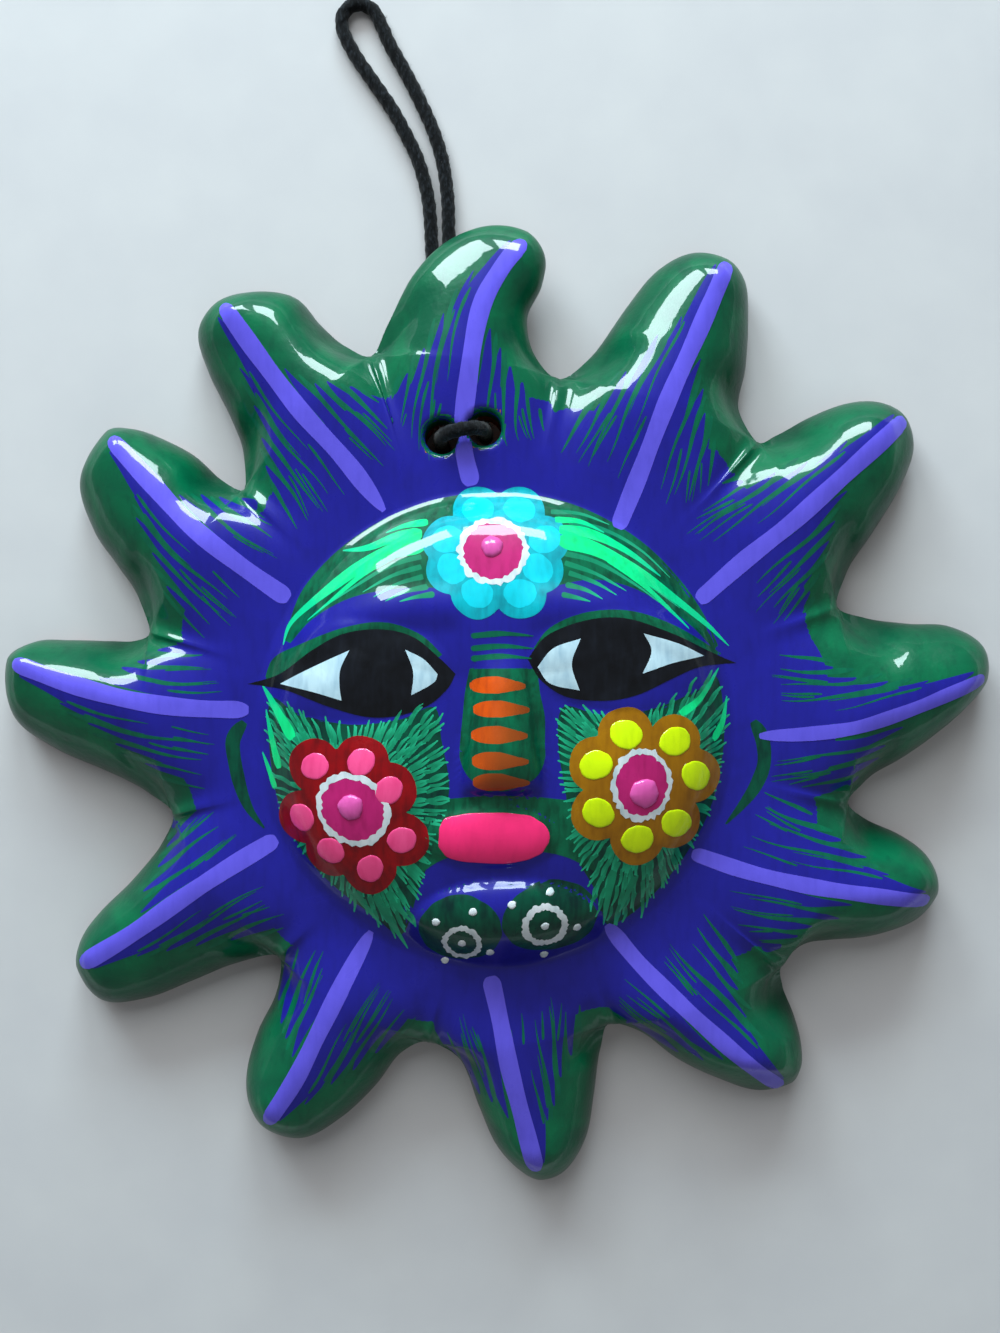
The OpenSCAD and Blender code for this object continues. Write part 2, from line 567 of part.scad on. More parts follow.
stripe_start_shares = [0.12, 0.3, 0.5, 0.75, 1];
stripe_end_share = 0.45;
stripe_most_share = 0.7;
function ray_half(i, row, side) = norm(flat_point(i, row, side) - flat_point(i, row, 0));
module ray_stripes() {
    rows = concat(collar_rows * stripe_start_shares, [for (r = [1 : ray_rows - 1]) collar_rows + r]);
    color("mediumslateblue")
        to_origin()
            for (i = [0 : ray_count - 1])
                slab([for (side = [-1, 1]) [for (k = [0 : len(rows) - 1])
                    let (end = k == 0 || k == len(rows) - 1 ? stripe_end_share : 1,
                         s = end * stripe_w / 2 / ray_half(i, rows[k], side))
                    on_ray(i, rows[k], side * min(s, stripe_most_share), 1)]]);
}

// Blue over the face, round the nose
nose_middle_share = [0.03, 0.02];
nose_half_share = [0.15, 0.21];
field_ring_shares = [1, 0.93, 0.82, 0.68, 0.5, 0.28, 0];
field_edge_share = 0.985;
field_points = 48;
module face_field() {
    outline = ellipse([0, 0], [half_w, half_h] * field_edge_share, field_points);
    inline = ellipse(place(nose_middle_share), place(nose_half_share), field_points);
    color("mediumblue")
        to_origin()
            band([for (share = field_ring_shares) [for (k = [0 : field_points - 1])
                on_face(mix(inline[k], outline[k], share), 0)]]);
}

// Green crescents on the collar beside the cheeks: each step is a ray, its side share and a width
left_crescent_shares = [[8, 0.2, 0.1], [8, 0.6, 0.6], [8, 0.97, 0.9],
                        [9, -0.97, 0.9], [9, -0.55, 1], [9, -0.25, 0.7], [9, 0.1, 0.1]];
right_crescent_shares = [[3, 0.1, 0.1], [3, 0.5, 0.8], [3, 0.97, 1],
                         [4, -0.97, 1], [4, -0.7, 0.8], [4, -0.35, 0.4], [4, -0.1, 0.1]];
crescent_in_share = 0.04;
crescent_wide_share = 0.12;
module collar_crescents() {
    color("darkgreen")
        to_origin()
            for (steps = [left_crescent_shares, right_crescent_shares])
                slab([for (side = [1, 0]) [for (step = steps)
                    on_ray(step[0], collar_rows * (crescent_in_share + side * crescent_wide_share * step[2]),
                           step[1], 1)]]);
}

// Green ground on the forehead, from the face's top edge down to the brows
forehead_top_shares = [[-0.87, 0.36], [-0.8, 0.57], [-0.65, 0.74], [-0.45, 0.875], [-0.23, 0.95], [0, 0.97],
                       [0.24, 0.95], [0.46, 0.87], [0.66, 0.73], [0.84, 0.52], [0.93, 0.34]];
forehead_low_shares = [[-0.84, 0.35], [-0.74, 0.45], [-0.58, 0.53], [-0.4, 0.56], [-0.22, 0.56], [0, 0.5],
                       [0.24, 0.57], [0.4, 0.6], [0.58, 0.56], [0.78, 0.44], [0.91, 0.32]];
module forehead_ground() {
    color("seagreen") to_origin() between(forehead_top_shares, forehead_low_shares, 2, 4, 1);
}

leaf_shares = [[[-0.3, 0.74], [-0.42, 0.71], [-0.59, 0.63], [-0.75, 0.5], [-0.85, 0.38]],
               [[-0.3, 0.66], [-0.4, 0.62], [-0.54, 0.54], [-0.66, 0.47]],
               [[-0.32, 0.82], [-0.43, 0.8], [-0.57, 0.74]],
               [[0.32, 0.74], [0.46, 0.69], [0.67, 0.57], [0.82, 0.45], [0.92, 0.36]],
               [[0.32, 0.68], [0.42, 0.63], [0.6, 0.55]],
               [[0.32, 0.82], [0.43, 0.8], [0.59, 0.74]]];
leaf_full_share = 0.4;
module forehead_leaves() {
    color("mediumspringgreen")
        to_origin()
            for (shares = leaf_shares) stroke(smooth_path(places(shares), 2), leaf_w, leaf_full_share, 2);
}

left_lid_top_shares = [[-0.9, 0.26], [-0.85, 0.34], [-0.71, 0.43], [-0.5, 0.47], [-0.32, 0.44], [-0.19, 0.36]];
left_lid_low_shares = [[-0.89, 0.24], [-0.83, 0.31], [-0.68, 0.39], [-0.5, 0.425], [-0.34, 0.39], [-0.21, 0.31]];
right_lid_top_shares = [[0.13, 0.34], [0.2, 0.42], [0.31, 0.48], [0.48, 0.52], [0.67, 0.5], [0.85, 0.4]];
right_lid_low_shares = [[0.15, 0.32], [0.22, 0.39], [0.33, 0.44], [0.48, 0.465], [0.65, 0.44], [0.84, 0.37]];
module brow_lids() {
    color("seagreen")
        to_origin() {
            between(left_lid_top_shares, left_lid_low_shares, 2, 1, 1);
            between(right_lid_top_shares, right_lid_low_shares, 2, 1, 1);
        }
}

// The eyes, in shares of half their length and half their height, each round its own middle
left_eye_shares = [[-1.03, -0.26], [-0.62, 0.38], [-0.2, 0.85], [0.2, 1], [0.6, 0.79], [0.9, 0.28], [1.03, -0.03],
                   [0.9, -0.48], [0.65, -0.84], [0.3, -1], [-0.1, -0.95], [-0.5, -0.73], [-0.82, -0.5]];
left_white_shares = [[[-0.78, -0.26], [-0.4, 0.15], [-0.05, 0.5], [-0.12, 0.03], [-0.12, -0.42],
                      [-0.08, -0.72], [-0.44, -0.54]],
                     [[0.56, 0.5], [0.7, 0.26], [0.82, -0.08], [0.75, -0.38], [0.63, -0.6],
                      [0.65, -0.2], [0.63, 0.15]]];
right_eye_shares = [[-1.03, -0.03], [-0.85, 0.5], [-0.55, 0.85], [-0.2, 0.97], [0.2, 0.85], [0.62, 0.38],
                    [1.03, -0.03], [0.72, -0.2], [0.4, -0.55], [0, -0.85], [-0.36, -0.96], [-0.7, -0.73],
                    [-0.93, -0.38]];
right_white_shares = [[[-0.6, 0.62], [-0.66, 0.2], [-0.66, -0.2], [-0.6, -0.62], [-0.78, -0.42],
                       [-0.9, 0.03], [-0.78, 0.38]],
                      [[-0.1, 0.68], [0.26, 0.5], [0.67, 0.04], [0.33, -0.2], [0.03, -0.44],
                       [0.1, -0.03], [0.04, 0.34]]];
function eye_loop(shares, at_share, steps) = smooth_loop([for (share = shares)
    place(at_share) + [share.x * eye_l, share.y * eye_t] / 2], steps);
module eye_black(shares, at_share) {
    color("black") to_origin() patch(eye_loop(shares, at_share, 2), place(at_share), 2, wide_shares);
}
module eye_whites(shares, at_share) {
    color("white")
        to_origin()
            for (white = shares) {
                outline = eye_loop(white, at_share, 2);
                patch(outline, centre_of(outline), 3, wide_shares);
            }
}
module left_eye_black() { eye_black(left_eye_shares, left_eye_share); }
module left_eye_whites() { eye_whites(left_white_shares, left_eye_share); }
module right_eye_black() { eye_black(right_eye_shares, right_eye_share); }
module right_eye_whites() { eye_whites(right_white_shares, right_eye_share); }

// The nose: a green ground with orange bars across it
nose_left_shares = [[-0.1, 0.26], [-0.12, 0.16], [-0.13, 0.06], [-0.14, -0.04],
                    [-0.14, -0.11], [-0.11, -0.17], [-0.06, -0.21]];
nose_right_shares = [[0.17, 0.26], [0.18, 0.16], [0.2, 0.06], [0.2, -0.04],
                     [0.2, -0.11], [0.17, -0.17], [0.11, -0.21]];
nose_cols = 6;
module nose_ground() {
    left = smooth_path(places(nose_left_shares), 2);
    right = smooth_path(places(nose_right_shares), 2);
    color("seagreen")
        to_origin()
            slab([for (k = [0 : nose_cols]) [for (j = [0 : len(left) - 1])
                on_face(mix(right[j], left[j], k / nose_cols), 1)]]);
}
bar_shares = [[-0.01, 0.18], [-0.01, 0.09], [-0.01, -0.01], [-0.01, -0.1], [-0.01, -0.18]];
module nose_bars() {
    color("chocolate")
        to_origin()
            for (share = bar_shares)
                patch(ellipse(place(share), [bar_l, bar_t] / 2, 12), place(share), 2, flat_shares, paint_t);
}

mouth_top_shares = [[-0.16, -0.28], [0.02, -0.29], [0.25, -0.28]];
mouth_low_shares = [[-0.26, -0.62], [0.02, -0.58], [0.36, -0.62]];
module mouth_ground() {
    color("seagreen") to_origin() between(mouth_top_shares, mouth_low_shares, 5, 4, 1);
}
mouth_power = 0.62;
mouth_points = 28;
module mouth_paint() {
    at = place(lip_share);
    outline = [for (k = [0 : mouth_points - 1]) let (a = -360 * k / mouth_points, c = cos(a), s = sin(a))
        at + [sign(c) * pow(abs(c), mouth_power) * mouth_l, sign(s) * pow(abs(s), mouth_power) * mouth_t] / 2];
    color("deeppink") to_origin() patch(outline, at, 2, wide_shares, paint_t);
}

// Green grounds on the cheeks, with light strokes fanned round their edges
left_ground_shares = [[-0.92, 0.13], [-0.79, 0.07], [-0.58, 0.03], [-0.38, 0.05], [-0.24, 0.1], [-0.21, -0.03],
                      [-0.18, -0.24], [-0.24, -0.46], [-0.3, -0.62], [-0.38, -0.84], [-0.5, -0.76],
                      [-0.65, -0.65], [-0.79, -0.5], [-0.89, -0.3], [-0.93, -0.06]];
right_ground_shares = [[0.27, 0.1], [0.42, 0.07], [0.62, 0.09], [0.83, 0.17], [0.91, 0.22], [0.94, 0.1],
                       [0.94, -0.08], [0.89, -0.31], [0.78, -0.52], [0.61, -0.72], [0.46, -0.8],
                       [0.4, -0.64], [0.31, -0.47], [0.28, -0.25], [0.25, -0.05]];
module cheek_ground(shares, at_share) {
    color("darkgreen")
        to_origin() patch(smooth_loop(places(shares), 2), place(at_share), 1, wide_shares);
}
module left_cheek_ground() { cheek_ground(left_ground_shares, left_cheek_share); }
module right_cheek_ground() { cheek_ground(right_ground_shares, right_cheek_share); }
module cheek_strokes(shares, at_share) {
    color("mediumaquamarine")
        to_origin()
            for (p = smooth_loop(places(shares), 2)) {
                away = unit(p - place(at_share));
                stroke([p - away * hatch_l, p - away * hatch_w], hatch_w, 0, 2);
            }
}
module left_cheek_strokes() { cheek_strokes(left_ground_shares, left_cheek_share); }
module right_cheek_strokes() { cheek_strokes(right_ground_shares, right_cheek_share); }

// Flowers: a dot stands on each round petal, at a turn and a share of the flower's radius
forehead_dot_shares = [[-157.5, 0.63], [-112.5, 0.63], [-60, 0.66], [-22.5, 0.63],
                       [14, 0.7], [61, 0.68], [111, 0.66], [165, 0.68]];
left_dot_shares = [[131, 0.69], [75, 0.61], [24, 0.57], [-32, 0.76], [-72, 0.78], [-114, 0.64], [-167, 0.67]];
right_dot_shares = [[109, 0.68], [53, 0.69], [8, 0.71], [-49, 0.68], [-95, 0.7], [-149, 0.68], [157, 0.67]];
petal_share = 0.34;
core_share = 0.6;
ring_out_share = 0.49;
ring_in_share = 0.38;
centre_share = 0.36;
dab_share = 0.15;
tall_shares = [1, 1.06];
petal_points = 34;
function dots_of(shares, r) = [for (share = shares) share[1] * r * [cos(share[0]), sin(share[0])]];
function lobe_reach(way, c, r) = let (d = way * c, h = r * r - (c * c - d * d)) h > 0 ? d + sqrt(h) : 0;
function lobed(at, lobes, r, core) = [for (k = [0 : petal_points - 1])
    let (a = -360 * k / petal_points, way = [cos(a), sin(a)])
    at + way * max([core, for (c = lobes) lobe_reach(way, c, r)])];
module petals(at, shares, r) {
    to_origin()
        patch(lobed(at, dots_of(shares, r), petal_share * r, core_share * r), at, 3, wide_shares);
}
module dots(at, shares, r) {
    to_origin()
        for (d = dots_of(shares, r)) patch(ellipse(at + d, [dot_r, dot_r], 10), at + d, 4, [1], blob_rise);
}
module white_ring(at, r) {
    color("white")
        to_origin() ring(ellipse(at, tall_shares * ring_out_share * r, 20),
                         ellipse(at, tall_shares * ring_in_share * r, 20), 4);
}
module flower_centre(at, r) {
    color("mediumvioletred") to_origin() patch(ellipse(at, tall_shares * centre_share * r, 14), at, 4, flat_shares);
}
module flower_dab(at, r) {
    color("hotpink") to_origin() patch(ellipse(at, [1, 1] * dab_share * r, 8), at, 5, flat_shares, blob_rise);
}
brow_flower = place(flower_share);
left_flower = place(left_cheek_share);
right_flower = place(right_cheek_share);
module forehead_petals() { color("mediumturquoise") petals(brow_flower, forehead_dot_shares, brow_flower_r); }
module forehead_dots() { color("turquoise") dots(brow_flower, forehead_dot_shares, brow_flower_r); }
module forehead_ring() { white_ring(brow_flower, brow_flower_r); }
module forehead_centre() { flower_centre(brow_flower, brow_flower_r); }
module forehead_dab() { flower_dab(brow_flower, brow_flower_r); }
module left_petals() { color("darkred") petals(left_flower, left_dot_shares, cheek_flower_r); }
module left_dots() { color("hotpink") dots(left_flower, left_dot_shares, cheek_flower_r); }
module left_ring() { white_ring(left_flower, cheek_flower_r); }
module left_centre() { flower_centre(left_flower, cheek_flower_r); }
module left_dab() { flower_dab(left_flower, cheek_flower_r); }
module right_petals() { color("darkgoldenrod") petals(right_flower, right_dot_shares, cheek_flower_r); }
module right_dots() { color("greenyellow") dots(right_flower, right_dot_shares, cheek_flower_r); }
module right_ring() { white_ring(right_flower, cheek_flower_r); }
module right_centre() { flower_centre(right_flower, cheek_flower_r); }
module right_dab() { flower_dab(right_flower, cheek_flower_r); }

// The chin: two dark lobes, each with a white ring and white dots
left_lobe_share = [-0.14, -0.8];
right_lobe_share = [0.2, -0.775];
lobe_half = [half_w * 0.18, half_h * 0.15];
chin_ring_shares = [[-0.13, -0.83], [0.2, -0.78]];
chin_dot_shares = [[-0.13, -0.83], [-0.25, -0.76], [-0.09, -0.69], [-0.01, -0.86], [-0.2, -0.925],
                   [0.2, -0.78], [0.07, -0.68], [0.21, -0.645], [0.33, -0.78], [0.2, -0.91]];
chin_dot_r = 0.8;
chin_ring_w = 0.9;
module chin_lobes() {
    color("darkgreen")
        to_origin()
            for (share = [left_lobe_share, right_lobe_share])
                patch(ellipse(place(share), lobe_half, 22), place(share), 1, wide_shares);
}
module chin_rings() {
    color("white")
        to_origin()
            for (share = chin_ring_shares)
                ring(ellipse(place(share), [1, 1] * chin_ring_r, 16),
                     ellipse(place(share), [1, 1] * (chin_ring_r - chin_ring_w), 16), 2);
}
module chin_dots() {
    color("white")
        to_origin()
            for (share = chin_dot_shares)
                patch(ellipse(place(share), [1, 1] * chin_dot_r, 6), place(share), 2, [1]);
}

// The cord's two routes, from the origin. The last number of a point is its height above lying on the table.
// The stitch comes up one hole and goes down the other; the loop goes on under the top ray,
// out and round on the table, and back to the knot.
stitch_route = [[-7.5, 27, 1.9], [-7.5, 30, 1.9], [-7.6, 34, 1], [-8, 39, 0.3], [-8.8, 43, 0.5],
                [-9.6, 46, 2.4], [-10, 47, 5.5], [-10, 47.2, 9], [-9.6, 47.3, 13], [-8.4, 47.5, 15.6],
                [-6.1, 47.9, 16.6], [-3.8, 48.3, 15.6], [-2.5, 48.5, 13], [-2.1, 48.6, 9], [-2.1, 48.6, 6]];
loop_route = [[-2.1, 48.6, 6], [-2.1, 48.6, 3.2], [-2.4, 50, 0.8], [-3.2, 54, 0], [-4.6, 60, 0],
              [-6.4, 66, 0], [-7.8, 72, 0], [-8.6, 79, 0], [-8.9, 86, 0], [-9.1, 93, 0], [-10, 99.5, 0],
              [-11.6, 105, 0], [-14, 110.5, 0], [-16.8, 116, 0], [-19.6, 121, 0], [-21.2, 124.6, 0],
              [-22.9, 127.6, 0], [-25.6, 128.6, 0], [-28, 127.2, 0], [-28.4, 124.2, 0], [-26.4, 119.8, 0],
              [-23.2, 115, 0], [-19.4, 109.5, 0], [-16.4, 104, 0], [-14.3, 99.3, 0], [-12.7, 93, 0],
              [-12.1, 86, 0], [-12, 79, 0], [-12.8, 70, 0], [-14.2, 61, 0], [-14.8, 53, 0],
              [-14.2, 45, 0], [-12.4, 38, 0.2], [-10.8, 33.6, 1.2], [-10.5, 30, 1.9], [-10.5, 27, 1.9]];
cord_sides = 8;
function lying(route) = [for (p = route) [p.x, p.y, p.z + cord_d / 2]];
function squared(v, t) = unit(v - t * (v * t));
module tube(path) {
    n = len(path);
    ways = [for (k = [0 : n - 1]) unit(path[min(k + 1, n - 1)] - path[max(k - 1, 0)])];
    sides = [for (k = 0, v = squared([1, 0, 0], ways[0]); k < n;
                  k = k + 1, v = k < n ? squared(v, ways[k]) : v) v];
    polyhedron(
        points = [for (k = [0 : n - 1]) for (j = [0 : cord_sides - 1]) let (a = 360 * (j + 0.5) / cord_sides)
            path[k] + cord_d / 2 * (cos(a) * sides[k] + sin(a) * cross(ways[k], sides[k]))],
        faces = concat(
            all_of([for (k = [0 : n - 2]) for (j = [0 : cord_sides - 1])
                let (a = k * cord_sides, m = (j + 1) % cord_sides)
                two(a + j, a + cord_sides + j, a + cord_sides + m, a + m)]),
            [[for (j = [0 : cord_sides - 1]) j],
             [for (j = [cord_sides - 1 : -1 : 0]) (n - 1) * cord_sides + j]]));
}
module front_stitch() { color("black") tube(lying(stitch_route)); }
module hanging_loop() { color("black") tube(lying(loop_route)); }

// The knot in both ends, behind the face, with two short tails
knot_at = [-9, 27, 1.9];
knot_l = 9;
knot_r = 3.1;
knot_end_r = 2.9;
tail_l = 7;
module cord_knot() {
    color("black")
        translate(knot_at + [0, 0, cord_d / 2])
            rotate([90, 0, 0]) {
                rotate_extrude($fn = 32)
                    polygon([[0, 0], [knot_end_r, 0], [knot_r, knot_l / 4], [knot_r, knot_l * 3 / 4],
                             [knot_end_r, knot_l], [0, knot_l]]);
                for (side = [-1, 1])
                    translate([side * cord_d * 0.55, cord_d / 2 - knot_r, knot_l - cord_d / 4])
                        cylinder(d = cord_d, h = tail_l, $fn = 24);
            }
}

clay_sun();
hanging_loop();
front_stitch();
cord_knot();
ray_fields();
ray_stripes();
face_field();
collar_crescents();
forehead_ground();
forehead_leaves();
brow_lids();
left_eye_black();
left_eye_whites();
right_eye_black();
right_eye_whites();
nose_ground();
nose_bars();
mouth_ground();
mouth_paint();
left_cheek_ground();
left_cheek_strokes();
right_cheek_ground();
right_cheek_strokes();
forehead_petals();
forehead_dots();
forehead_ring();
forehead_centre();
forehead_dab();
left_petals();
left_dots();
left_ring();
left_centre();
left_dab();
right_petals();
right_dots();
right_ring();
right_centre();
right_dab();
chin_lobes();
chin_rings();
chin_dots();
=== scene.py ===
import math

import bmesh
import bpy
import numpy as np
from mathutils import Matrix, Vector
from mathutils.bvhtree import BVHTree
from mathutils.geometry import barycentric_transform


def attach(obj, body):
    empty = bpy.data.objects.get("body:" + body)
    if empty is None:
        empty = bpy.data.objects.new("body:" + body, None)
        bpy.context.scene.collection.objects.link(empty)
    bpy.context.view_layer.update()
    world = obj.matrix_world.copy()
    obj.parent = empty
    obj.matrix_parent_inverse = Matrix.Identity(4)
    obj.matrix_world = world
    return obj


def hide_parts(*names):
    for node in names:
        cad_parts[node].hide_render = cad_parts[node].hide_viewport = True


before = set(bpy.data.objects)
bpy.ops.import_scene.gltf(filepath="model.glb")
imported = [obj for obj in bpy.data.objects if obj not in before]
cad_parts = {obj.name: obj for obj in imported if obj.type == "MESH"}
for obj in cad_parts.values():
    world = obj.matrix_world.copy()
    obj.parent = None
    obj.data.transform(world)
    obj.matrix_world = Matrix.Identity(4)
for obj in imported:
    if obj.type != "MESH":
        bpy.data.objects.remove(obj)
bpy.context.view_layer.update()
rng = np.random.default_rng(12)

# Lengths are in millimetres, measured from the middle of the face. Meshes are written in metres.
MM = 0.001
FACE_HALF = np.array([42.0, 42.0])
COLLAR_W = 15.0
RAY_L = 37.0
COLLAR_H = 15.0
CREST_H = 16.5
TIP_H = 12.0
TIP_ROLL = 13.0
RIM_UP = 3.5
RIM_TUCK = 3.0
DISH_H = 4.4
PAD_CUT = 0.4
PAD_SHARE = 0.27
FACE_RISE = 10.0
FOREHEAD_RISE = 1.5
EYE_RISE = 1.6
CHEEK_RISE = 2.0
CHIN_RISE = 4.5
LIPS_RISE = 1.8
WALL = 7.0
HOLLOW_MARGIN = 6.0
NOSE_RISE = 6.5
NOSE_W = 14.5
EYE_L = 33.6
EYE_T = 14.4
FLOWER_R = 12.2
CHEEK_R = 13.0
FOREHEAD_HALF = (33.6, 16.8)
CHIN_HALF = (16.4, 8.8)
MOUTH_HALF = (11.4, 5.4)
CORD_D = 2.6
HOLE_D = 6.0
# Each layer of paint lies this much higher than the one before; a skin starts sunk into what it is on
LAYER = 0.04
SUNK = 0.03
SKIN_T = 0.03
RING_T = 0.06

# The camera stands over the sun and looks straight down, as in the photograph
CAMERA_AT = np.array([0.49, 7.17, 260.0])
FOCAL_PX = 1411.0
PHOTO_SIZE = np.array([1000.0, 1333.0])
SENSOR = 36.0


def mix(a, b, t):
    return a + (b - a) * t


def ease(t):
    c = np.clip(t, 0, 1)
    return c * c * (3 - 2 * c)


def smooth_curve(points, steps, closed=False):
    """Points on a smooth curve through the given ones."""
    p = np.asarray(points, float)
    ends = (p[-1], p[0], p[1]) if closed else (2 * p[0] - p[1], 2 * p[-1] - p[-2], None)
    q = np.vstack([ends[0], p, ends[1]] + ([ends[2]] if closed else []))
    t = (np.arange(steps) / steps)[:, None]
    parts = [
        (2 * b + (c - a) * t + (2 * a - 5 * b + 4 * c - d) * t**2 + (3 * b - a - 3 * c + d) * t**3) / 2
        for a, b, c, d in zip(q, q[1:], q[2:], q[3:])
    ]
    curve = np.vstack(parts)
    return curve if closed else np.vstack([curve, p[-1]])


def run_of(path):
    return np.concatenate([[0], np.cumsum(np.linalg.norm(np.diff(path, axis=0), axis=1))])


def even_path(path, spacing):
    """The same path with its points a fixed distance apart."""
    run = run_of(path)
    count = max(3, int(round(run[-1] / spacing)) + 1)
    where = np.linspace(0, run[-1], count)
    return np.stack([np.interp(where, run, path[:, c]) for c in range(path.shape[1])], -1)


# Outline of the rays, clockwise from the top one: a turn in degrees and a share of a ray's length.
# A row goes from the notch before a ray, over its tip at the sixth point, and down its other side.
OUTLINE = [
    [[108.5, 0.35], [105, 0.47], [100.5, 0.67], [96, 0.81], [91, 0.88],
     [86.5, 0.86], [84, 0.75], [84, 0.6], [85.5, 0.44], [84, 0.27]],
    [[79.5, 0.17], [75.5, 0.33], [72.5, 0.63], [70.5, 0.83], [67.5, 0.97],
     [63.5, 1.01], [60.5, 0.95], [58, 0.8], [55, 0.6], [52.5, 0.42]],
    [[47.5, 0.33], [46, 0.44], [44.5, 0.63], [42.5, 0.81], [40, 0.93],
     [37, 0.98], [33.5, 0.92], [30.5, 0.76], [27.5, 0.56], [23.5, 0.33]],
    [[19.5, 0.21], [16.5, 0.34], [14, 0.55], [12.5, 0.74], [9.5, 0.88],
     [5.5, 0.88], [2.5, 0.77], [-1.5, 0.59], [-5, 0.43], [-8.5, 0.28]],
    [[-12, 0.2], [-14, 0.33], [-15, 0.52], [-16.5, 0.66], [-19, 0.75],
     [-21.5, 0.77], [-25, 0.72], [-29, 0.57], [-32.5, 0.41], [-36, 0.29]],
    [[-40, 0.26], [-42, 0.35], [-44, 0.5], [-46, 0.62], [-48, 0.7],
     [-50.5, 0.73], [-54.5, 0.65], [-58, 0.48], [-61.5, 0.3], [-64.5, 0.11]],
    [[-69, -0.01], [-72, 0.12], [-75, 0.33], [-77.5, 0.52], [-81, 0.66],
     [-84.5, 0.69], [-87, 0.63], [-90, 0.5], [-92.5, 0.32], [-96, 0.1]],
    [[-102, 0.01], [-106, 0.11], [-108.5, 0.32], [-111.5, 0.52], [-115, 0.68],
     [-120, 0.72], [-123.5, 0.65], [-126, 0.53], [-128, 0.35], [-129.5, 0.15]],
    [[-133.5, -0.02], [-137.5, 0.17], [-140, 0.4], [-142, 0.62], [-145, 0.8],
     [-150, 0.82], [-153, 0.73], [-155, 0.59], [-157, 0.4], [-160.5, 0.2]],
    [[-165, 0.07], [-169.5, 0.19], [-173.5, 0.38], [-177, 0.61], [-181, 0.81],
     [-187.5, 0.87], [-190.5, 0.75], [-191.5, 0.59], [-192.5, 0.4], [-193.5, 0.26]],
    [[-195.5, 0.19], [-199.5, 0.3], [-203, 0.47], [-206, 0.65], [-210.5, 0.82],
     [-217, 0.85], [-219.5, 0.75], [-221, 0.6], [-222, 0.44], [-222, 0.27]],
    [[-223.5, 0.13], [-227.5, 0.29], [-229.5, 0.47], [-231, 0.7], [-233, 0.88],
     [-237, 0.94], [-241, 0.89], [-245, 0.78], [-246.5, 0.61], [-248.5, 0.46]],
]
# Where each crest runs across its ray: at the face, at the foot, at two fifths and near the tip
CRESTS = [
    [0.45, 0.53, 0.64, 0.69], [0.66, 0.52, 0.54, 0.56], [0.55, 0.43, 0.45, 0.42],
    [0.66, 0.57, 0.57, 0.54], [0.73, 0.5, 0.51, 0.3], [0.7, 0.64, 0.6, 0.3],
    [0.67, 0.57, 0.62, 0.53], [0.62, 0.57, 0.55, 0.58], [0.63, 0.58, 0.64, 0.65],
    [0.64, 0.61, 0.62, 0.74], [0.6, 0.59, 0.57, 0.72], [0.7, 0.63, 0.62, 0.52],
]
STATIONS = (0.4, 0.8)
RAYS = len(OUTLINE)
SIDE_STEPS = 24


def reach(turn, share):
    a = math.radians(turn)
    return np.array([math.cos(a), math.sin(a)]) * (FACE_HALF + COLLAR_W + share * RAY_L)


outline = smooth_curve([reach(*p) for row in OUTLINE for p in row], SIDE_STEPS, closed=True)
row_points = len(OUTLINE[0]) * SIDE_STEPS


def side(start, way):
    """One side of a ray from foot to tip, with the share of its length at each point."""
    steps = np.arange(row_points // 2 + 1) * way
    path = outline[(start + steps) % len(outline)]
    run = run_of(path)
    return run / run[-1], path, run[-1]


first_sides = [side(i * row_points, 1) for i in range(RAYS)]
other_sides = [side((i + 1) * row_points, -1) for i in range(RAYS)]


def on_side(one, r):
    return np.stack([np.interp(r, one[0], one[1][:, c]) for c in (0, 1)], -1)


# The frame's origin is under the middle of the outline, as the CAD rows have it
cad_rows = 1 - (1 - np.arange(12) / 11) ** 1.35
cad_loop = np.vstack([on_side(one, cad_rows) for one in first_sides + other_sides])
MIDDLE = (cad_loop.min(0) + cad_loop.max(0)) / 2
ORIGIN = np.append(MIDDLE, 0)


def crest_share(i, r):
    row = CRESTS[i]
    a, b = STATIONS
    q = np.minimum(r, b)
    return (row[1] * (q - a) * (q - b) / (a * b) + row[2] * q * (q - b) / (a * (a - b))
            + row[3] * q * (q - a) / (b * (b - a)))


def rim_turn(i):
    return OUTLINE[i % RAYS][0][0] - 360 * (i // RAYS)


def arc_point(i, s, rho):
    """A point of the face under a ray, at a share of the face's radius."""
    crest = mix(rim_turn(i), rim_turn(i + 1), CRESTS[i][0])
    a = np.radians(np.where(s < 0, mix(crest, rim_turn(i), -s), mix(crest, rim_turn(i + 1), s)))
    return np.stack([FACE_HALF[0] * np.cos(a) * rho, FACE_HALF[1] * np.sin(a) * rho], -1)


def line_point(i, r, s):
    a = on_side(first_sides[i], r)
    b = on_side(other_sides[i], r)
    crest = mix(a, b, crest_share(i, r)[..., None])
    w = s[..., None]
    return np.where(w < 0, mix(crest, a, -w), mix(crest, b, w))


def back_height(i, r):
    return np.full(np.shape(r), DISH_H) if i == 0 else mix(DISH_H, -PAD_CUT, ease(r / PAD_SHARE))


def lumps(x, y):
    """Slight unevenness of clay shaped by hand."""
    return (0.11 * np.sin(x / 6.1 + 1.3) * np.sin(y / 5.3 - 0.4)
            + 0.08 * np.sin(x / 3.1 - y / 4.4) + 0.05 * np.sin(x / 1.9 + y / 2.3 + 2))


# The share of a ray over which its crest stays level before it falls to the tip, and the share near
# its foot that shows which way its lines leave the collar
CREST_LEVEL = 0.2
LEAVE_SHARE = 0.1
# Where the valley between two rays has come down to the rim, counted like t, and the powers that shape a
# section across the collar and across a ray, with the stretch over which one turns into the other
VALLEY_END = 1.7
COLLAR_POWER = 2
RAY_POWER = 0.55
POWER_START = 0.7
POWER_STRETCH = 0.9


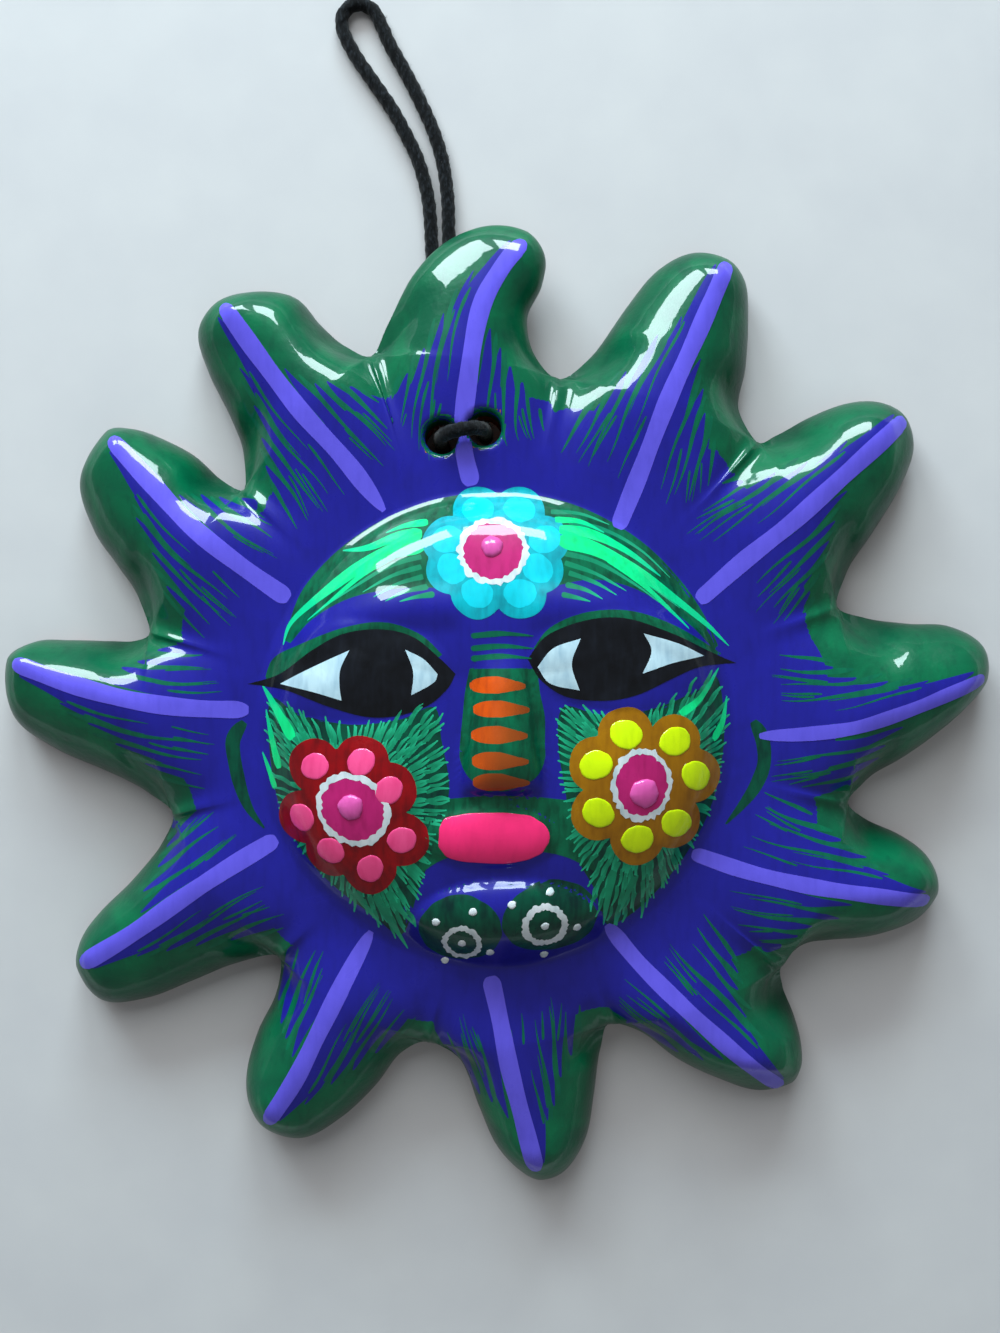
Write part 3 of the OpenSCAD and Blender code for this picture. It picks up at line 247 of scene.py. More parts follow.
def on_ray(i, t, s):
    """A point of the clay: t is 0 at the face, 1 at a ray's foot and 2 at its tip; s goes across."""
    t, s = np.broadcast_arrays(np.asarray(t, float), np.asarray(s, float))
    c = np.clip(t, 0, 1)
    r = np.clip(t - 1, 0, 1)
    start = arc_point(i, s, 1.0)
    foot = line_point(i, 0 * r, s)
    straight = foot - start
    collar = np.linalg.norm(straight, axis=-1, keepdims=True)
    leave = line_point(i, 0 * r + LEAVE_SHARE, s) - foot
    leave *= collar / (np.linalg.norm(leave, axis=-1, keepdims=True) + 1e-9)
    leave = mix(leave, straight, (np.abs(s) ** 3)[..., None])
    k = c[..., None]
    flat = start + straight * k + (leave - straight) * k * k * (k - 1)
    flat = np.where((t < 1)[..., None], flat, line_point(i, r, s))
    rim = back_height(i, r) + RIM_UP
    way = np.where(t < 1, t, 1 + np.linalg.norm(flat - foot, axis=-1) / collar[..., 0])
    edge = 1 - (1 - np.abs(s)) ** 2
    drop = np.clip(way / mix(VALLEY_END, 1, edge**8), 0, 1)
    low = rim + (COLLAR_H - rim) * (1 - drop**3) ** mix(2, 0.5, edge**24)
    roll = np.sin(np.pi / 2 * np.minimum(1, (1 - r) * first_sides[i][2] / TIP_ROLL))
    fall = r * r / (r + CREST_LEVEL) * (1 + CREST_LEVEL)
    top = np.where(t < 1, mix(COLLAR_H, CREST_H, ease(c)), mix(rim, mix(CREST_H, TIP_H, fall), roll))
    power = mix(COLLAR_POWER, RAY_POWER, ease((way - POWER_START) / POWER_STRETCH))
    h = np.maximum(0, 1 - np.abs(s) ** 1.7) ** power
    z = mix(low, top, h) + lumps(flat[..., 0], flat[..., 1]) * mix(1, h * roll, c)
    return np.concatenate([flat, z[..., None]], -1)


def place(shares):
    """A place on the face from its shares of the face's half width and half height."""
    return np.asarray(shares, float) * FACE_HALF


# Middles of the face's features as shares of its half width and half height, left ones first
FOREHEAD_SHARES = (0, 0.62)
EYE_SHARES = ((-0.58, 0.245), (0.54, 0.285))
CHEEK_SHARES = ((-0.58, -0.3), (0.59, -0.21))
LIPS_SHARES = (-0.01, -0.42)
CHIN_SHARES = (0.05, -0.8)
NOSE_TOP_SHARE = 0.36
NOSE_FOOT_SHARE = -0.25
NOSE_MIDDLE_SHARE = 0.03


def swell(p, at, half, power):
    """A rounded rise on the face, 1 high in its middle."""
    away = (p[..., :2] - place(at)) / half
    return np.maximum(0, 1 - (away[..., 0] ** 2 + away[..., 1] ** 2)) ** power


def nose_height(p):
    top = NOSE_TOP_SHARE * FACE_HALF[1]
    foot = NOSE_FOOT_SHARE * FACE_HALF[1]
    t = np.clip((top - p[..., 1]) / (top - foot), 0, 1)
    half = mix(0.6, 1, ease(t)) * NOSE_W / 2
    a = np.clip(np.abs(p[..., 0] - NOSE_MIDDLE_SHARE * FACE_HALF[0]) / half, 0, 1)
    along = ease(t / 0.3) * mix(0.3, 1, t**1.3) * (1 - t**8) ** 0.7
    return NOSE_RISE * along * (1 - a * a) ** 0.9


def brow_height(p):
    u = np.abs(p[..., 0]) / FACE_HALF[0]
    fall = np.clip((u - 0.25) / 0.66, 0, 1)
    d = (p[..., 1] - FACE_HALF[1] * (0.5 - 0.22 * fall * fall)) / (EYE_T / 3)
    return np.maximum(0, 1 - d * d) ** 2 * ease((u - 0.07) / 0.14) * ease((0.88 - u) / 0.14)


# The face's dome meets the collar in a soft hollow, which takes this last share of its fall
DOME_POWER = 0.7
FILLET = 0.45


def dome(rho):
    """Height of the face's dome as a share, with a fillet at its foot."""
    x = 1 - rho**2.6
    value = FILLET**DOME_POWER
    slope = DOME_POWER * FILLET ** (DOME_POWER - 1)
    cube = (slope * FILLET - 2 * value) / FILLET**3
    square = (value - cube * FILLET**3) / FILLET**2
    return np.where(x > FILLET, np.maximum(x, FILLET) ** DOME_POWER, square * x**2 + cube * x**3)


def face_height(p):
    rho = np.minimum(1, np.hypot(p[..., 0] / FACE_HALF[0], p[..., 1] / FACE_HALF[1]))
    eye = (EYE_L * 0.52, EYE_T * 0.6)
    cheek = (CHEEK_R * 1.3, CHEEK_R * 1.3)
    eyes = swell(p, EYE_SHARES[0], eye, 0.9) + swell(p, EYE_SHARES[1], eye, 0.9)
    cheeks = swell(p, CHEEK_SHARES[0], cheek, 1.3) + swell(p, CHEEK_SHARES[1], cheek, 1.3)
    soft = (FOREHEAD_RISE * swell(p, FOREHEAD_SHARES, FOREHEAD_HALF, 0.9) + brow_height(p) + EYE_RISE * eyes
            + CHEEK_RISE * cheeks + CHIN_RISE * swell(p, CHIN_SHARES, CHIN_HALF, 0.7))
    return (COLLAR_H + FACE_RISE * dome(rho) + nose_height(p)
            + LIPS_RISE * swell(p, LIPS_SHARES, MOUTH_HALF, 0.7) + (1 - rho**8) * soft
            + lumps(p[..., 0], p[..., 1]))


def on_face(i, s, rho):
    flat = arc_point(i, s, rho)
    return np.concatenate([flat, face_height(flat)[..., None]], -1)


# Paint higher than this share of the collar is cleared from the cord's holes
CLEAR_ABOVE = 0.7


def open_holes(work):
    """Takes paint off the cord's holes and brings its edge to their rims."""
    for at in HOLES:
        middle = Vector((*((at - MIDDLE) * MM), 0))
        r = HOLE_R * MM
        inside = {}
        for v in work.verts:
            away = Vector((v.co.x - middle.x, v.co.y - middle.y))
            if v.co.z > COLLAR_H * CLEAR_ABOVE * MM and away.length < r:
                inside[v] = away
        faces = [f for f in work.faces if all(v in inside for v in f.verts)]
        bmesh.ops.delete(work, geom=faces, context="FACES")
        for v, d in inside.items():
            if v.is_valid and d.length > 0:
                v.co.x = middle.x + d.x / d.length * r
                v.co.y = middle.y + d.y / d.length * r


class Mesh:
    """Vertices and faces gathered from grids of points, with a number and a normal for each vertex."""

    is_paint = False

    def __init__(self):
        self.points = []
        self.normals = []
        self.faces = []
        self.tones = []
        self.count = 0

    def add_points(self, points, tone, normals=None):
        """Normals of zero, or none at all, are left to the faces."""
        flat = np.reshape(points, (-1, 3))
        index = np.arange(len(flat)).reshape(np.shape(points)[:-1]) + self.count
        self.points.append(flat)
        self.normals.append(np.zeros((len(flat), 3)) if normals is None else np.reshape(normals, (-1, 3)))
        self.tones.append(np.broadcast_to(tone, index.shape).ravel())
        self.count += len(flat)
        return index

    def add_quads(self, index, wrap=False, turned=False):
        side_by = np.concatenate([index, index[:, :1]], 1) if wrap else index
        corners = np.stack([side_by[:-1, :-1], side_by[:-1, 1:], side_by[1:, 1:], side_by[1:, :-1]], -1)
        corners = corners[..., ::-1] if turned else corners
        self.faces.extend(list(dict.fromkeys(q)) for q in corners.reshape(-1, 4).tolist())

    def grid(self, points, tone=0.0):
        self.add_quads(self.add_points(points, tone))

    def object(self, name, layer, join=None):
        """The finished object, in the frame's place."""
        points = (np.vstack(self.points) - ORIGIN) * MM
        mesh = bpy.data.meshes.new(name)
        mesh.from_pydata(points.tolist(), [], [f for f in self.faces if len(f) > 2])
        tone = mesh.attributes.new(layer, "FLOAT", "POINT")
        tone.data.foreach_set("value", np.concatenate(self.tones))
        lie = mesh.attributes.new("lie", "FLOAT_VECTOR", "POINT")
        lie.data.foreach_set("vector", np.vstack(self.normals).ravel())
        work = bmesh.new()
        work.from_mesh(mesh)
        if join:
            bmesh.ops.remove_doubles(work, verts=work.verts, dist=join * MM)
            bmesh.ops.dissolve_degenerate(work, edges=work.edges, dist=join * MM / 10)
        if self.is_paint:
            open_holes(work)
        loose = [v for v in work.verts if not v.link_faces]
        bmesh.ops.delete(work, geom=loose, context="VERTS")
        if not self.is_paint:
            bmesh.ops.recalc_face_normals(work, faces=work.faces)
        work.to_mesh(mesh)
        work.free()
        mesh.shade_smooth()
        if self.is_paint:
            mesh.set_sharp_from_angle(angle=math.radians(60))
            normals = np.empty(len(mesh.vertices) * 3)
            mesh.attributes["lie"].data.foreach_get("vector", normals)
            mesh.normals_split_custom_set_from_vertices(normals.reshape(-1, 3).tolist())
        mesh.attributes.remove(mesh.attributes["lie"])
        obj = bpy.data.objects.new(name, mesh)
        bpy.context.scene.collection.objects.link(obj)
        return obj


# How dense the clay's mesh is
HALF_COLS = 26
RAY_ROWS = 56
COLLAR_ROWS = 18
FACE_ROWS = 62
across = np.linspace(-1, 1, 2 * HALF_COLS + 1)
across = np.sign(across) * (1 - (1 - np.abs(across)) ** 1.8)
collar_t = 1 - (1 - np.arange(COLLAR_ROWS + 1) / COLLAR_ROWS) ** 1.5
ray_r = 1 - (1 - np.arange(RAY_ROWS + 1) / RAY_ROWS) ** 1.35


def clay_front(mesh):
    t = np.concatenate([collar_t, 1 + ray_r[1:]])
    rho = 1 - (1 - np.arange(FACE_ROWS + 1) / FACE_ROWS) ** 1.5
    for i in range(RAYS):
        mesh.grid(on_face(i, *np.meshgrid(across, rho)), 1.0)
        mesh.grid(on_ray(i, t[:, None], across[None, :]), 1.0)


def rim_loop():
    """The widest line of the rim as one loop, its inward direction and the back's height along it."""
    points, lows = [], []
    for i in range(RAYS):
        points += [on_side(first_sides[i], ray_r), on_side(other_sides[i], ray_r[-2:0:-1])]
        lows += [back_height(i, ray_r), back_height(i, ray_r[-2:0:-1])]
    loop = np.vstack(points)
    t = np.roll(loop, -1, 0) - np.roll(loop, 1, 0)
    t /= np.linalg.norm(t, axis=1)[:, None]
    return loop, np.stack([t[:, 1], -t[:, 0]], -1), np.concatenate(lows)


def clay_rim(mesh):
    """The rim drawn in to the back in a quarter round. Returns the loop where it meets the back."""
    loop, inward, low = rim_loop()
    least = np.minimum(low, 0)
    turn = np.arcsin(np.clip(1 + least / RIM_UP, 0, 1))
    rows = []
    for step in np.linspace(0, 1, 7):
        a = turn * step
        flat = loop + (RIM_TUCK * (1 - np.cos(a)))[:, None] * inward
        rows.append(np.column_stack([flat, low + RIM_UP * (1 - np.sin(a))]))
    tones = np.linspace(1, 0, 7)[:, None] + 0 * low[None, :]
    mesh.add_quads(mesh.add_points(np.stack(rows), tones), wrap=True)
    return rows[-1]


def clay_back(mesh, foot):
    cols = np.linspace(0, 1, 13)[None, :, None]
    per_ray = 2 * RAY_ROWS
    rho = np.concatenate([[1.0], 1 - (np.arange(1, 21) / 20) ** 1.6])
    for i in range(RAYS):
        k = np.arange(RAY_ROWS + 1)
        a = foot[(i * per_ray + k) % len(foot)]
        b = foot[((i + 1) * per_ray - k) % len(foot)]
        mesh.grid(mix(a[:, None, :], b[:, None, :], cols))
        turn = np.radians(mix(rim_turn(i), rim_turn(i + 1), cols[0, :, 0]))
        edge = (FACE_HALF - HOLLOW_MARGIN) * np.stack([np.cos(turn), np.sin(turn)], -1)
        lift = (COLLAR_H + FACE_RISE - WALL - DISH_H) * np.sqrt(1 - rho**2.5)
        bowl = np.concatenate([rho[:, None, None] * edge[None], np.broadcast_to(
            (DISH_H + lift)[:, None, None], (len(rho), len(turn), 1))], -1)
        mesh.grid(bowl)
        ring = np.column_stack([edge, np.full(len(turn), DISH_H)])
        start = mix(a[0], b[0], cols[0])
        mesh.grid(mix(start[None], ring[None], np.linspace(0, 1, 5)[:, None, None]))


sun = Mesh()
clay_front(sun)
clay_back(sun, clay_rim(sun))
clay = sun.object("sun_clay", "front", join=0.0003)


def of_vertices(mesh, name):
    """Three numbers for each vertex: its place, or its normal."""
    values = np.empty(len(mesh.vertices) * 3)
    mesh.vertices.foreach_get(name, values)
    return values.reshape(-1, 3)


# The finished clay as a surface to lay paint on
clay_points = of_vertices(clay.data, "co") / MM + ORIGIN
clay_normals = of_vertices(clay.data, "normal")
clay.data.calc_loop_triangles()
clay_faces = [tuple(face.vertices) for face in clay.data.loop_triangles]
clay_corners = [[Vector(row[k]) for row in (clay_points, clay_normals) for k in ids] for ids in clay_faces]
surface = BVHTree.FromPolygons(clay_points.tolist(), clay_faces)
DOWN = Vector((0, 0, -1))


# The two holes for the cord, and how their lips fall away: a share of the radius and a depth
HOLE_R = HOLE_D / 2
HOLE_TILT = math.radians(10.5)
HOLES_AT = np.array([-5.6, FACE_HALF[1] + 9.6])
HOLES_APART = 7.6 * np.array([math.cos(HOLE_TILT), math.sin(HOLE_TILT)])
HOLES = [HOLES_AT + way * HOLES_APART for way in (-0.5, 0.5)]
HOLE_SIDES = 48
LIP_LIFT = 0.03
LIP = [(1, 1.3), (1.02, 0.8), (1.08, 0.4), (1.2, 0.12), (1.42, 0)]


def lip_drop(points):
    """How far a surface falls at these points as it nears a hole."""
    drop = np.zeros(points.shape[:-1])
    for at in HOLES:
        share = np.linalg.norm(points[..., :2] - at, axis=-1) / HOLE_R
        drop = np.maximum(drop, np.interp(share, [p[0] for p in LIP], [p[1] for p in LIP]))
    return drop


def drape(flat):
    """Points of the clay straight under these places, and its smooth normals there."""
    flat = np.asarray(flat, float)
    places = flat.reshape(-1, flat.shape[-1])
    points = np.empty((len(places), 3))
    normals = np.empty((len(places), 3))
    for n, p in enumerate(places):
        hit, _, face, _ = surface.ray_cast(Vector((p[0], p[1], 60)), DOWN)
        if hit is None:
            hit, _, face, _ = surface.find_nearest(Vector((p[0], p[1], RIM_UP * 2)))
        points[n] = hit
        normals[n] = barycentric_transform(hit, *clay_corners[face])
    normals /= np.linalg.norm(normals, axis=1)[:, None]
    shape = flat.shape[:-1] + (3,)
    return points.reshape(shape), normals.reshape(shape)


def seen(pixels):
    """Places on the clay, from the face's middle, that the camera sees at pixels of the photograph."""
    px = np.asarray(pixels, float)
    ray = np.stack([px[..., 0] - PHOTO_SIZE[0] / 2, PHOTO_SIZE[1] / 2 - px[..., 1]], -1) / FOCAL_PX
    z = np.full(px.shape[:-1], COLLAR_H)
    for _ in range(5):
        flat = CAMERA_AT[:2] + MIDDLE + ray * (CAMERA_AT[2] - z)[..., None]
        z = drape(flat)[0][..., 2]
    return flat


# A patch has two rings of points this far inside its edge
EDGE_RINGS = (0.18, 0.45)


class Paint(Mesh):
    """Thin closed skins of paint, level under one varnish. The rim of each dips into what lies under it."""

    is_paint = True

    def skin(self, points, normals, heights, kind="sheet", tone=0.0, raised=False):
        """A grid of points as a closed skin. A sheet has edges all round, a ring two and a disc one."""
        edge = np.zeros(heights.shape, bool)
        edge[0] = True
        if kind != "disc":
            edge[-1] = True
        if kind == "sheet":
            edge[:, [0, -1]] = True
        heights = np.where(edge, -SUNK, heights)
        points = points.copy()
        drop = lip_drop(points)
        points[..., 2] -= drop
        lie = np.where((drop > 0)[..., None] | raised, 0, normals)
        top = self.add_points(points + normals * heights[..., None], tone, lie)
        low = self.add_points(points - normals * SUNK, tone)
        if kind == "disc":
            top[-1] = top[-1, 0]
            low[-1] = low[-1, 0]
        low = np.where(edge, top, low)
        facing = np.cross(np.diff(points[:, :-1], axis=0), np.diff(points[:-1], axis=1))
        turned = np.sum(facing * normals[:-1, :-1]) > 0
        self.add_quads(top, kind != "sheet", turned)
        self.add_quads(low, kind != "sheet", not turned)

    def patch(self, loop, at, layer, crown, spacing):
        """Paint inside a loop that can all be seen from its middle."""
        size = np.linalg.norm(loop - at, axis=1).max()
        first = 1 - min(0.3, EDGE_RINGS[0] / size)
        second = 1 - min(0.5, EDGE_RINGS[1] / size)
        inner = np.linspace(second, 0, max(3, int(size / spacing) + 1))
        shares = np.concatenate([[1, first], inner])
        flat = at + (loop - at)[None] * shares[:, None, None]
        flat[-1] = at
        points, normals = drape(flat)
        rise = LAYER * layer + SKIN_T * np.minimum(1, np.sqrt(1 - shares**2) * 1.6)
        rise += crown * (1 - shares**2) ** 0.6
        rise[1] = LAYER * layer + SKIN_T * 0.55 + crown * (1 - first**2) ** 0.6
        self.skin(points, normals, rise[:, None] + np.zeros(len(loop)), "disc", raised=crown > 0.1)

    def ring(self, outer, inner, layer):
        shares = np.array([0, 0.12, 0.35, 0.65, 0.88, 1])
        lifts = np.array([0, 0.6, 1, 1, 0.6, 0])
        points, normals = drape(mix(outer[None], inner[None], shares[:, None, None]))
        rise = LAYER * layer + RING_T * lifts
        self.skin(points, normals, rise[:, None] + np.zeros(len(outer)), "ring")

    def stroke(self, path, width, layer, thick=0.05, begin=0.25, end=0.6, spacing=0.6, blunt=0.0, thin_and_shade=0.0):
        """A brush stroke, rounded where it begins and thinning out over the last share of its length.

        begin sets how long the rounded part is, end the share that thins out, blunt how wide it stays
        there, and the last argument how far its whole length moves towards its paint's end colour; the
        nose bars use that for painted shade."""
        path = even_path(np.asarray(path, float), spacing)
        run = run_of(path)
        t = np.gradient(path, axis=0)
        t /= np.linalg.norm(t, axis=1)[:, None]
        away = np.stack([-t[:, 1], t[:, 0]], -1)
        begin_mm = min(width * begin * 2, run[-1] * 0.4)
        start = np.sqrt(np.clip(1 - (1 - run / begin_mm) ** 2, 0, 1)) * (run < begin_mm) + (run >= begin_mm)
        left = np.clip((run[-1] - run) / (run[-1] * end + 1e-6), 0, 1)
        wide = start * np.maximum(left ** 0.7, blunt * np.sqrt(np.clip((run[-1] - run) / width * 2, 0, 1)))
        wide = wide * (1 + 0.05 * np.sin(run / width * 1.3 + rng.uniform(0, 2 * np.pi)))
        wide[0] = max(wide[0], 0.3)
        wide[-1] = max(wide[-1], 0.05)
        sides = np.sin(np.pi / 2 * np.linspace(-1, 1, 5 if width < 2 else 9))
        lifts = 1 - sides**4
        flat = path[:, None] + away[:, None] * (wide * width / 2)[:, None, None] * sides[None, :, None]
        points, normals = drape(flat)
        body = np.minimum(1, 0.35 + 0.65 * wide)
        rise = LAYER * layer + thick * lifts[None] * body[:, None]
        self.skin(points, normals, rise, "sheet", thin_and_shade + (run / run[-1])[:, None] + 0 * rise)

    def fill(self, top, low, layer, spacing):
        """Paint between two lines that run the same way."""
        top = even_path(smooth_curve(top, 6), 0.6)
        low_run = even_path(smooth_curve(low, 6), 0.1)
        low = low_run[np.linspace(0, len(low_run) - 1, len(top)).round().astype(int)]
        gap = np.linalg.norm(top - low, axis=1).max()
        inner = np.linspace(0.15, max(0.3, gap - 0.15), max(3, int(gap / spacing) + 1)) / gap
        shares = np.concatenate([[0], inner[inner < 0.99], [1]])
        points, normals = drape(mix(top[:, None], low[:, None], shares[None, :, None]))
        rise = np.full(points.shape[:2], LAYER * layer + SKIN_T)
        self.skin(points, normals, rise)


def ellipse(at, half, count, tilt=0.0, uneven=0.0):
    a = np.linspace(0, -2 * np.pi, count, endpoint=False)
    bump = 1 + uneven * rough_wave(a)
    x = half[0] * np.cos(a) * bump
    y = half[1] * np.sin(a) * bump
    c, s = math.cos(math.radians(tilt)), math.sin(math.radians(tilt))
    return np.asarray(at) + np.stack([x * c - y * s, x * s + y * c], -1)


def ragged(loop, at, share=0.06):
    """The same loop with the uneven edge of short dabs of a brush."""
    dabs = rng.uniform(-1, 1, 60)
    k = np.arange(len(loop)) * len(dabs) / len(loop)
    bump = np.interp(k, np.arange(len(dabs) + 1), np.append(dabs, dabs[0]))
    return at + (loop - at) * (1 + share * bump)[:, None]


def rough_wave(a):
    """A seeded wave round a turn, about as high as 1."""
    phases = rng.uniform(0, 2 * np.pi, 4)
    return sum(np.sin(k * a + p) / n for k, p, n in zip((3, 5, 8, 13), phases, (1.8, 2.4, 3, 3.6)))


def linear(red, green, blue):
    """A colour as a screen shows it, from 0 to 255, in the form that the shader takes."""
    share = np.array([red, green, blue]) / 255
    value = np.where(share <= 0.04045, share / 12.92, ((share + 0.055) / 1.055) ** 2.4)
    return (*value.tolist(), 1.0)


# How upright the surface is, from 0 to 1, where the varnish begins and where it is whole, and its
# least weight
VARNISH_SLOPES = (0.68, 0.8)
VARNISH_LEAST = 0.1
PAINT_ROUGH = 0.32


class Finish:
    """A node material built step by step round one principled shader."""

    def __init__(self, name):
        self.material = bpy.data.materials.new(name)
        self.material.use_nodes = True
        self.tree = self.material.node_tree
        self.shader = self.tree.nodes["Principled BSDF"]
        self.where = self.node("TexCoord", "Object")

    def put(self, socket, value):
        """Links a socket to another node's output, or writes a value into it."""
        if isinstance(value, bpy.types.NodeSocket):
            self.tree.links.new(value, socket)
        else:
            socket.default_value = value

    def node(self, kind, output=0, **values):
        """A node with its inputs set by name, as one of its outputs."""
        node = self.tree.nodes.new("ShaderNode" + kind)
        for name, value in values.items():
            self.put(node.inputs[name.replace("_", " ")], value)
        return node.outputs[output]

    def noise(self, scale, detail=3.0, stretch=(1, 1, 1), distortion=0.0):
        where = self.node("Mapping", Scale=stretch, Vector=self.where)
        return self.node("TexNoise", "Fac", Scale=scale, Detail=detail, Distortion=distortion, Vector=where)

    def attribute(self, name):
        output = self.node("Attribute", "Fac")
        output.node.attribute_name = name
        return output

    def ramp(self, value, low, high, start=0.0, stop=1.0):
        return self.node(
            "MapRange", "Result", From_Min=low, From_Max=high, To_Min=start, To_Max=stop, Value=value)

    def math(self, kind, a, b):
        node = self.tree.nodes.new("ShaderNodeMath")
        node.operation = kind
        self.put(node.inputs[0], a)
        self.put(node.inputs[1], b)
        return node.outputs["Value"]

    def blend(self, share, a, b):
        node = self.tree.nodes.new("ShaderNodeMix")
        node.data_type = "RGBA"
        for place_in, value in ((0, share), (6, a), (7, b)):
            self.put(node.inputs[place_in], value)
        return node.outputs[2]

    def height(self, direction):
        """The upward part of a direction or place."""
        return self.node("SeparateXYZ", "Z", Vector=direction)

    def varnish(self):
        """Weight of the varnish: less of it stays on the steep sides."""
        return self.ramp(self.height(self.node("TexCoord", "Normal")), *VARNISH_SLOPES, VARNISH_LEAST)

    def bump(self, height, strength, distance_mm, under=None):
        values = {} if under is None else {"Normal": under}
        return self.node("Bump", Strength=strength, Distance=distance_mm * MM, Height=height, **values)

    def set(self, **values):
        for name, value in values.items():
            self.put(self.shader.inputs[name.replace("_", " ")], value)


def lacquer(name, slot, colour, deep, fade=None, streak=0.5):
    """Brushed acrylic under a clear varnish. deep is its thin, streaky parts; fade is a stroke's end."""
    finish = Finish(name + "_finish")
    cloud = finish.noise(220, 4, distortion=0.6)
    bristle = finish.noise(900, 2, stretch=(1, 0.22, 1))
    thin = finish.ramp(cloud, 0.35, 0.7, 0, streak)
    thin_and_shade = finish.math("ADD", thin, finish.ramp(bristle, 0.45, 0.75, 0, streak))
    base = finish.blend(thin_and_shade, linear(*colour), linear(*deep))
    if fade is not None:
        base = finish.blend(finish.ramp(finish.attribute("tone"), 0.35, 1.0), base, linear(*fade))
    fine = finish.noise(2600, 2)
    ridge = finish.bump(bristle, 0.35, 0.05, finish.bump(fine, 0.15, 0.02))
    varnish = finish.bump(finish.noise(160, 2), 0.25, 0.25)
    finish.set(Base_Color=base, Roughness=finish.ramp(cloud, 0.3, 0.7, PAINT_ROUGH * 0.8, PAINT_ROUGH * 1.3),
               Normal=ridge, Specular_IOR_Level=0.15, Coat_Weight=finish.varnish(), Coat_Roughness=0.04,
               Coat_Normal=varnish)
    return finish.material, slot


def clay_finish():
    """Green lacquer on the front, with painted shade darkening it low down, rubbed away to bare terracotta
    under the rim.
    """
    finish = Finish("painted_clay_finish")
    cloud = finish.noise(120, 5, distortion=0.8)
    bristle = finish.noise(700, 3, stretch=(1, 0.3, 1))
    green = finish.blend(finish.ramp(cloud, 0.35, 0.65), linear(0, 104, 66), linear(0, 84, 56))
    green = finish.blend(finish.ramp(bristle, 0.55, 0.8, 0, 0.5), green, linear(0, 62, 46))
    # Painted shade: the green darkens towards the table, standing in for the shaded low, steep sides
    low = finish.ramp(finish.height(finish.where), 0.2 * COLLAR_H * MM, 0.8 * COLLAR_H * MM, 0.75, 0)
    green = finish.blend(low, green, linear(4, 34, 26))
    grain = finish.noise(900, 6)
    terracotta = finish.blend(finish.ramp(grain, 0.3, 0.7), linear(176, 98, 62), linear(140, 74, 48))
    chipped = finish.ramp(finish.noise(260, 4), 0.2, 0.8, -0.3, 0.3)
    painted = finish.ramp(finish.math("ADD", finish.attribute("front"), chipped), 0.46, 0.54)
    base = finish.blend(painted, terracotta, green)
    pits = finish.bump(grain, 0.5, 0.15)
    ridge = finish.bump(bristle, 0.3, 0.06, pits)
    varnish = finish.bump(finish.noise(140, 3), 0.3, 0.3)
    finish.set(Base_Color=base, Roughness=finish.ramp(painted, 0, 1, 0.85, 0.35), Normal=ridge,
               Specular_IOR_Level=0.15, Coat_Weight=finish.math("MULTIPLY", painted, finish.varnish()),
               Coat_Roughness=0.04, Coat_Normal=varnish)
    return finish.material


def cord_finish():
    finish = Finish("black_cord_finish")
    fibre = finish.noise(2400, 4, stretch=(1, 0.4, 1))
    base = finish.blend(finish.ramp(fibre, 0.5, 0.8), linear(5, 6, 8), linear(44, 50, 56))
    finish.set(Base_Color=base, Roughness=0.9, Normal=finish.bump(fibre, 1.0, 0.2), Specular_IOR_Level=0.2,
               Sheen_Weight=0.12, Sheen_Roughness=0.5)
    return finish.material, "black_cord"


def finish_piece(obj, paint, *nodes):
    material, slot = paint
    obj.data.materials.append(material)
    if nodes:
        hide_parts(*nodes)
    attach(obj, "root")
    return obj


def paint_piece(mesh, name, paint, *nodes):
    return finish_piece(mesh.object(name, "tone"), paint, *nodes)


def pierce(obj):
    """Cuts the cord's two holes, each with a soft lip."""
    cutters = []
    for at in HOLES:
        mesh = Mesh()
        profile = [(1, 0)] + [(share, LIP_LIFT - drop) for share, drop in LIP] + [(1.8, 0.4)]
        rows = []
        for share, lift in profile:
            ring = ellipse(at, (HOLE_R * share, HOLE_R * share), HOLE_SIDES)
            rows.append(drape(ring)[0] + (0, 0, lift))
        rows[0][:, 2] = -2
        rows.append(rows[-1] + (0, 0, 6))
        ends = [np.tile(np.append(at, rows[k][:, 2].mean()), (HOLE_SIDES, 1)) for k in (0, -1)]
        rows = np.stack([ends[0]] + rows + [ends[1]])
        tones = np.array([0] + [1.0] * (len(rows) - 1))[:, None] + np.zeros(HOLE_SIDES)
        mesh.add_quads(mesh.add_points(rows, tones), wrap=True)
        cutters.append(mesh.object("hole_cutter", "front", join=0.0003))
    bpy.context.view_layer.objects.active = obj
    for cutter in cutters:
        step = obj.modifiers.new("hole", "BOOLEAN")
        step.operation = "DIFFERENCE"
        step.solver = "EXACT"
        step.object = cutter
        with bpy.context.temp_override(object=obj, active_object=obj, selected_objects=[obj]):
            bpy.ops.object.modifier_apply(modifier=step.name)
        bpy.data.objects.remove(cutter)
    obj.data.set_sharp_from_angle(angle=math.radians(50))


pierce(clay)
clay.data.materials.clear()
finish_piece(clay, (clay_finish(), "painted_clay"), "clay_sun")

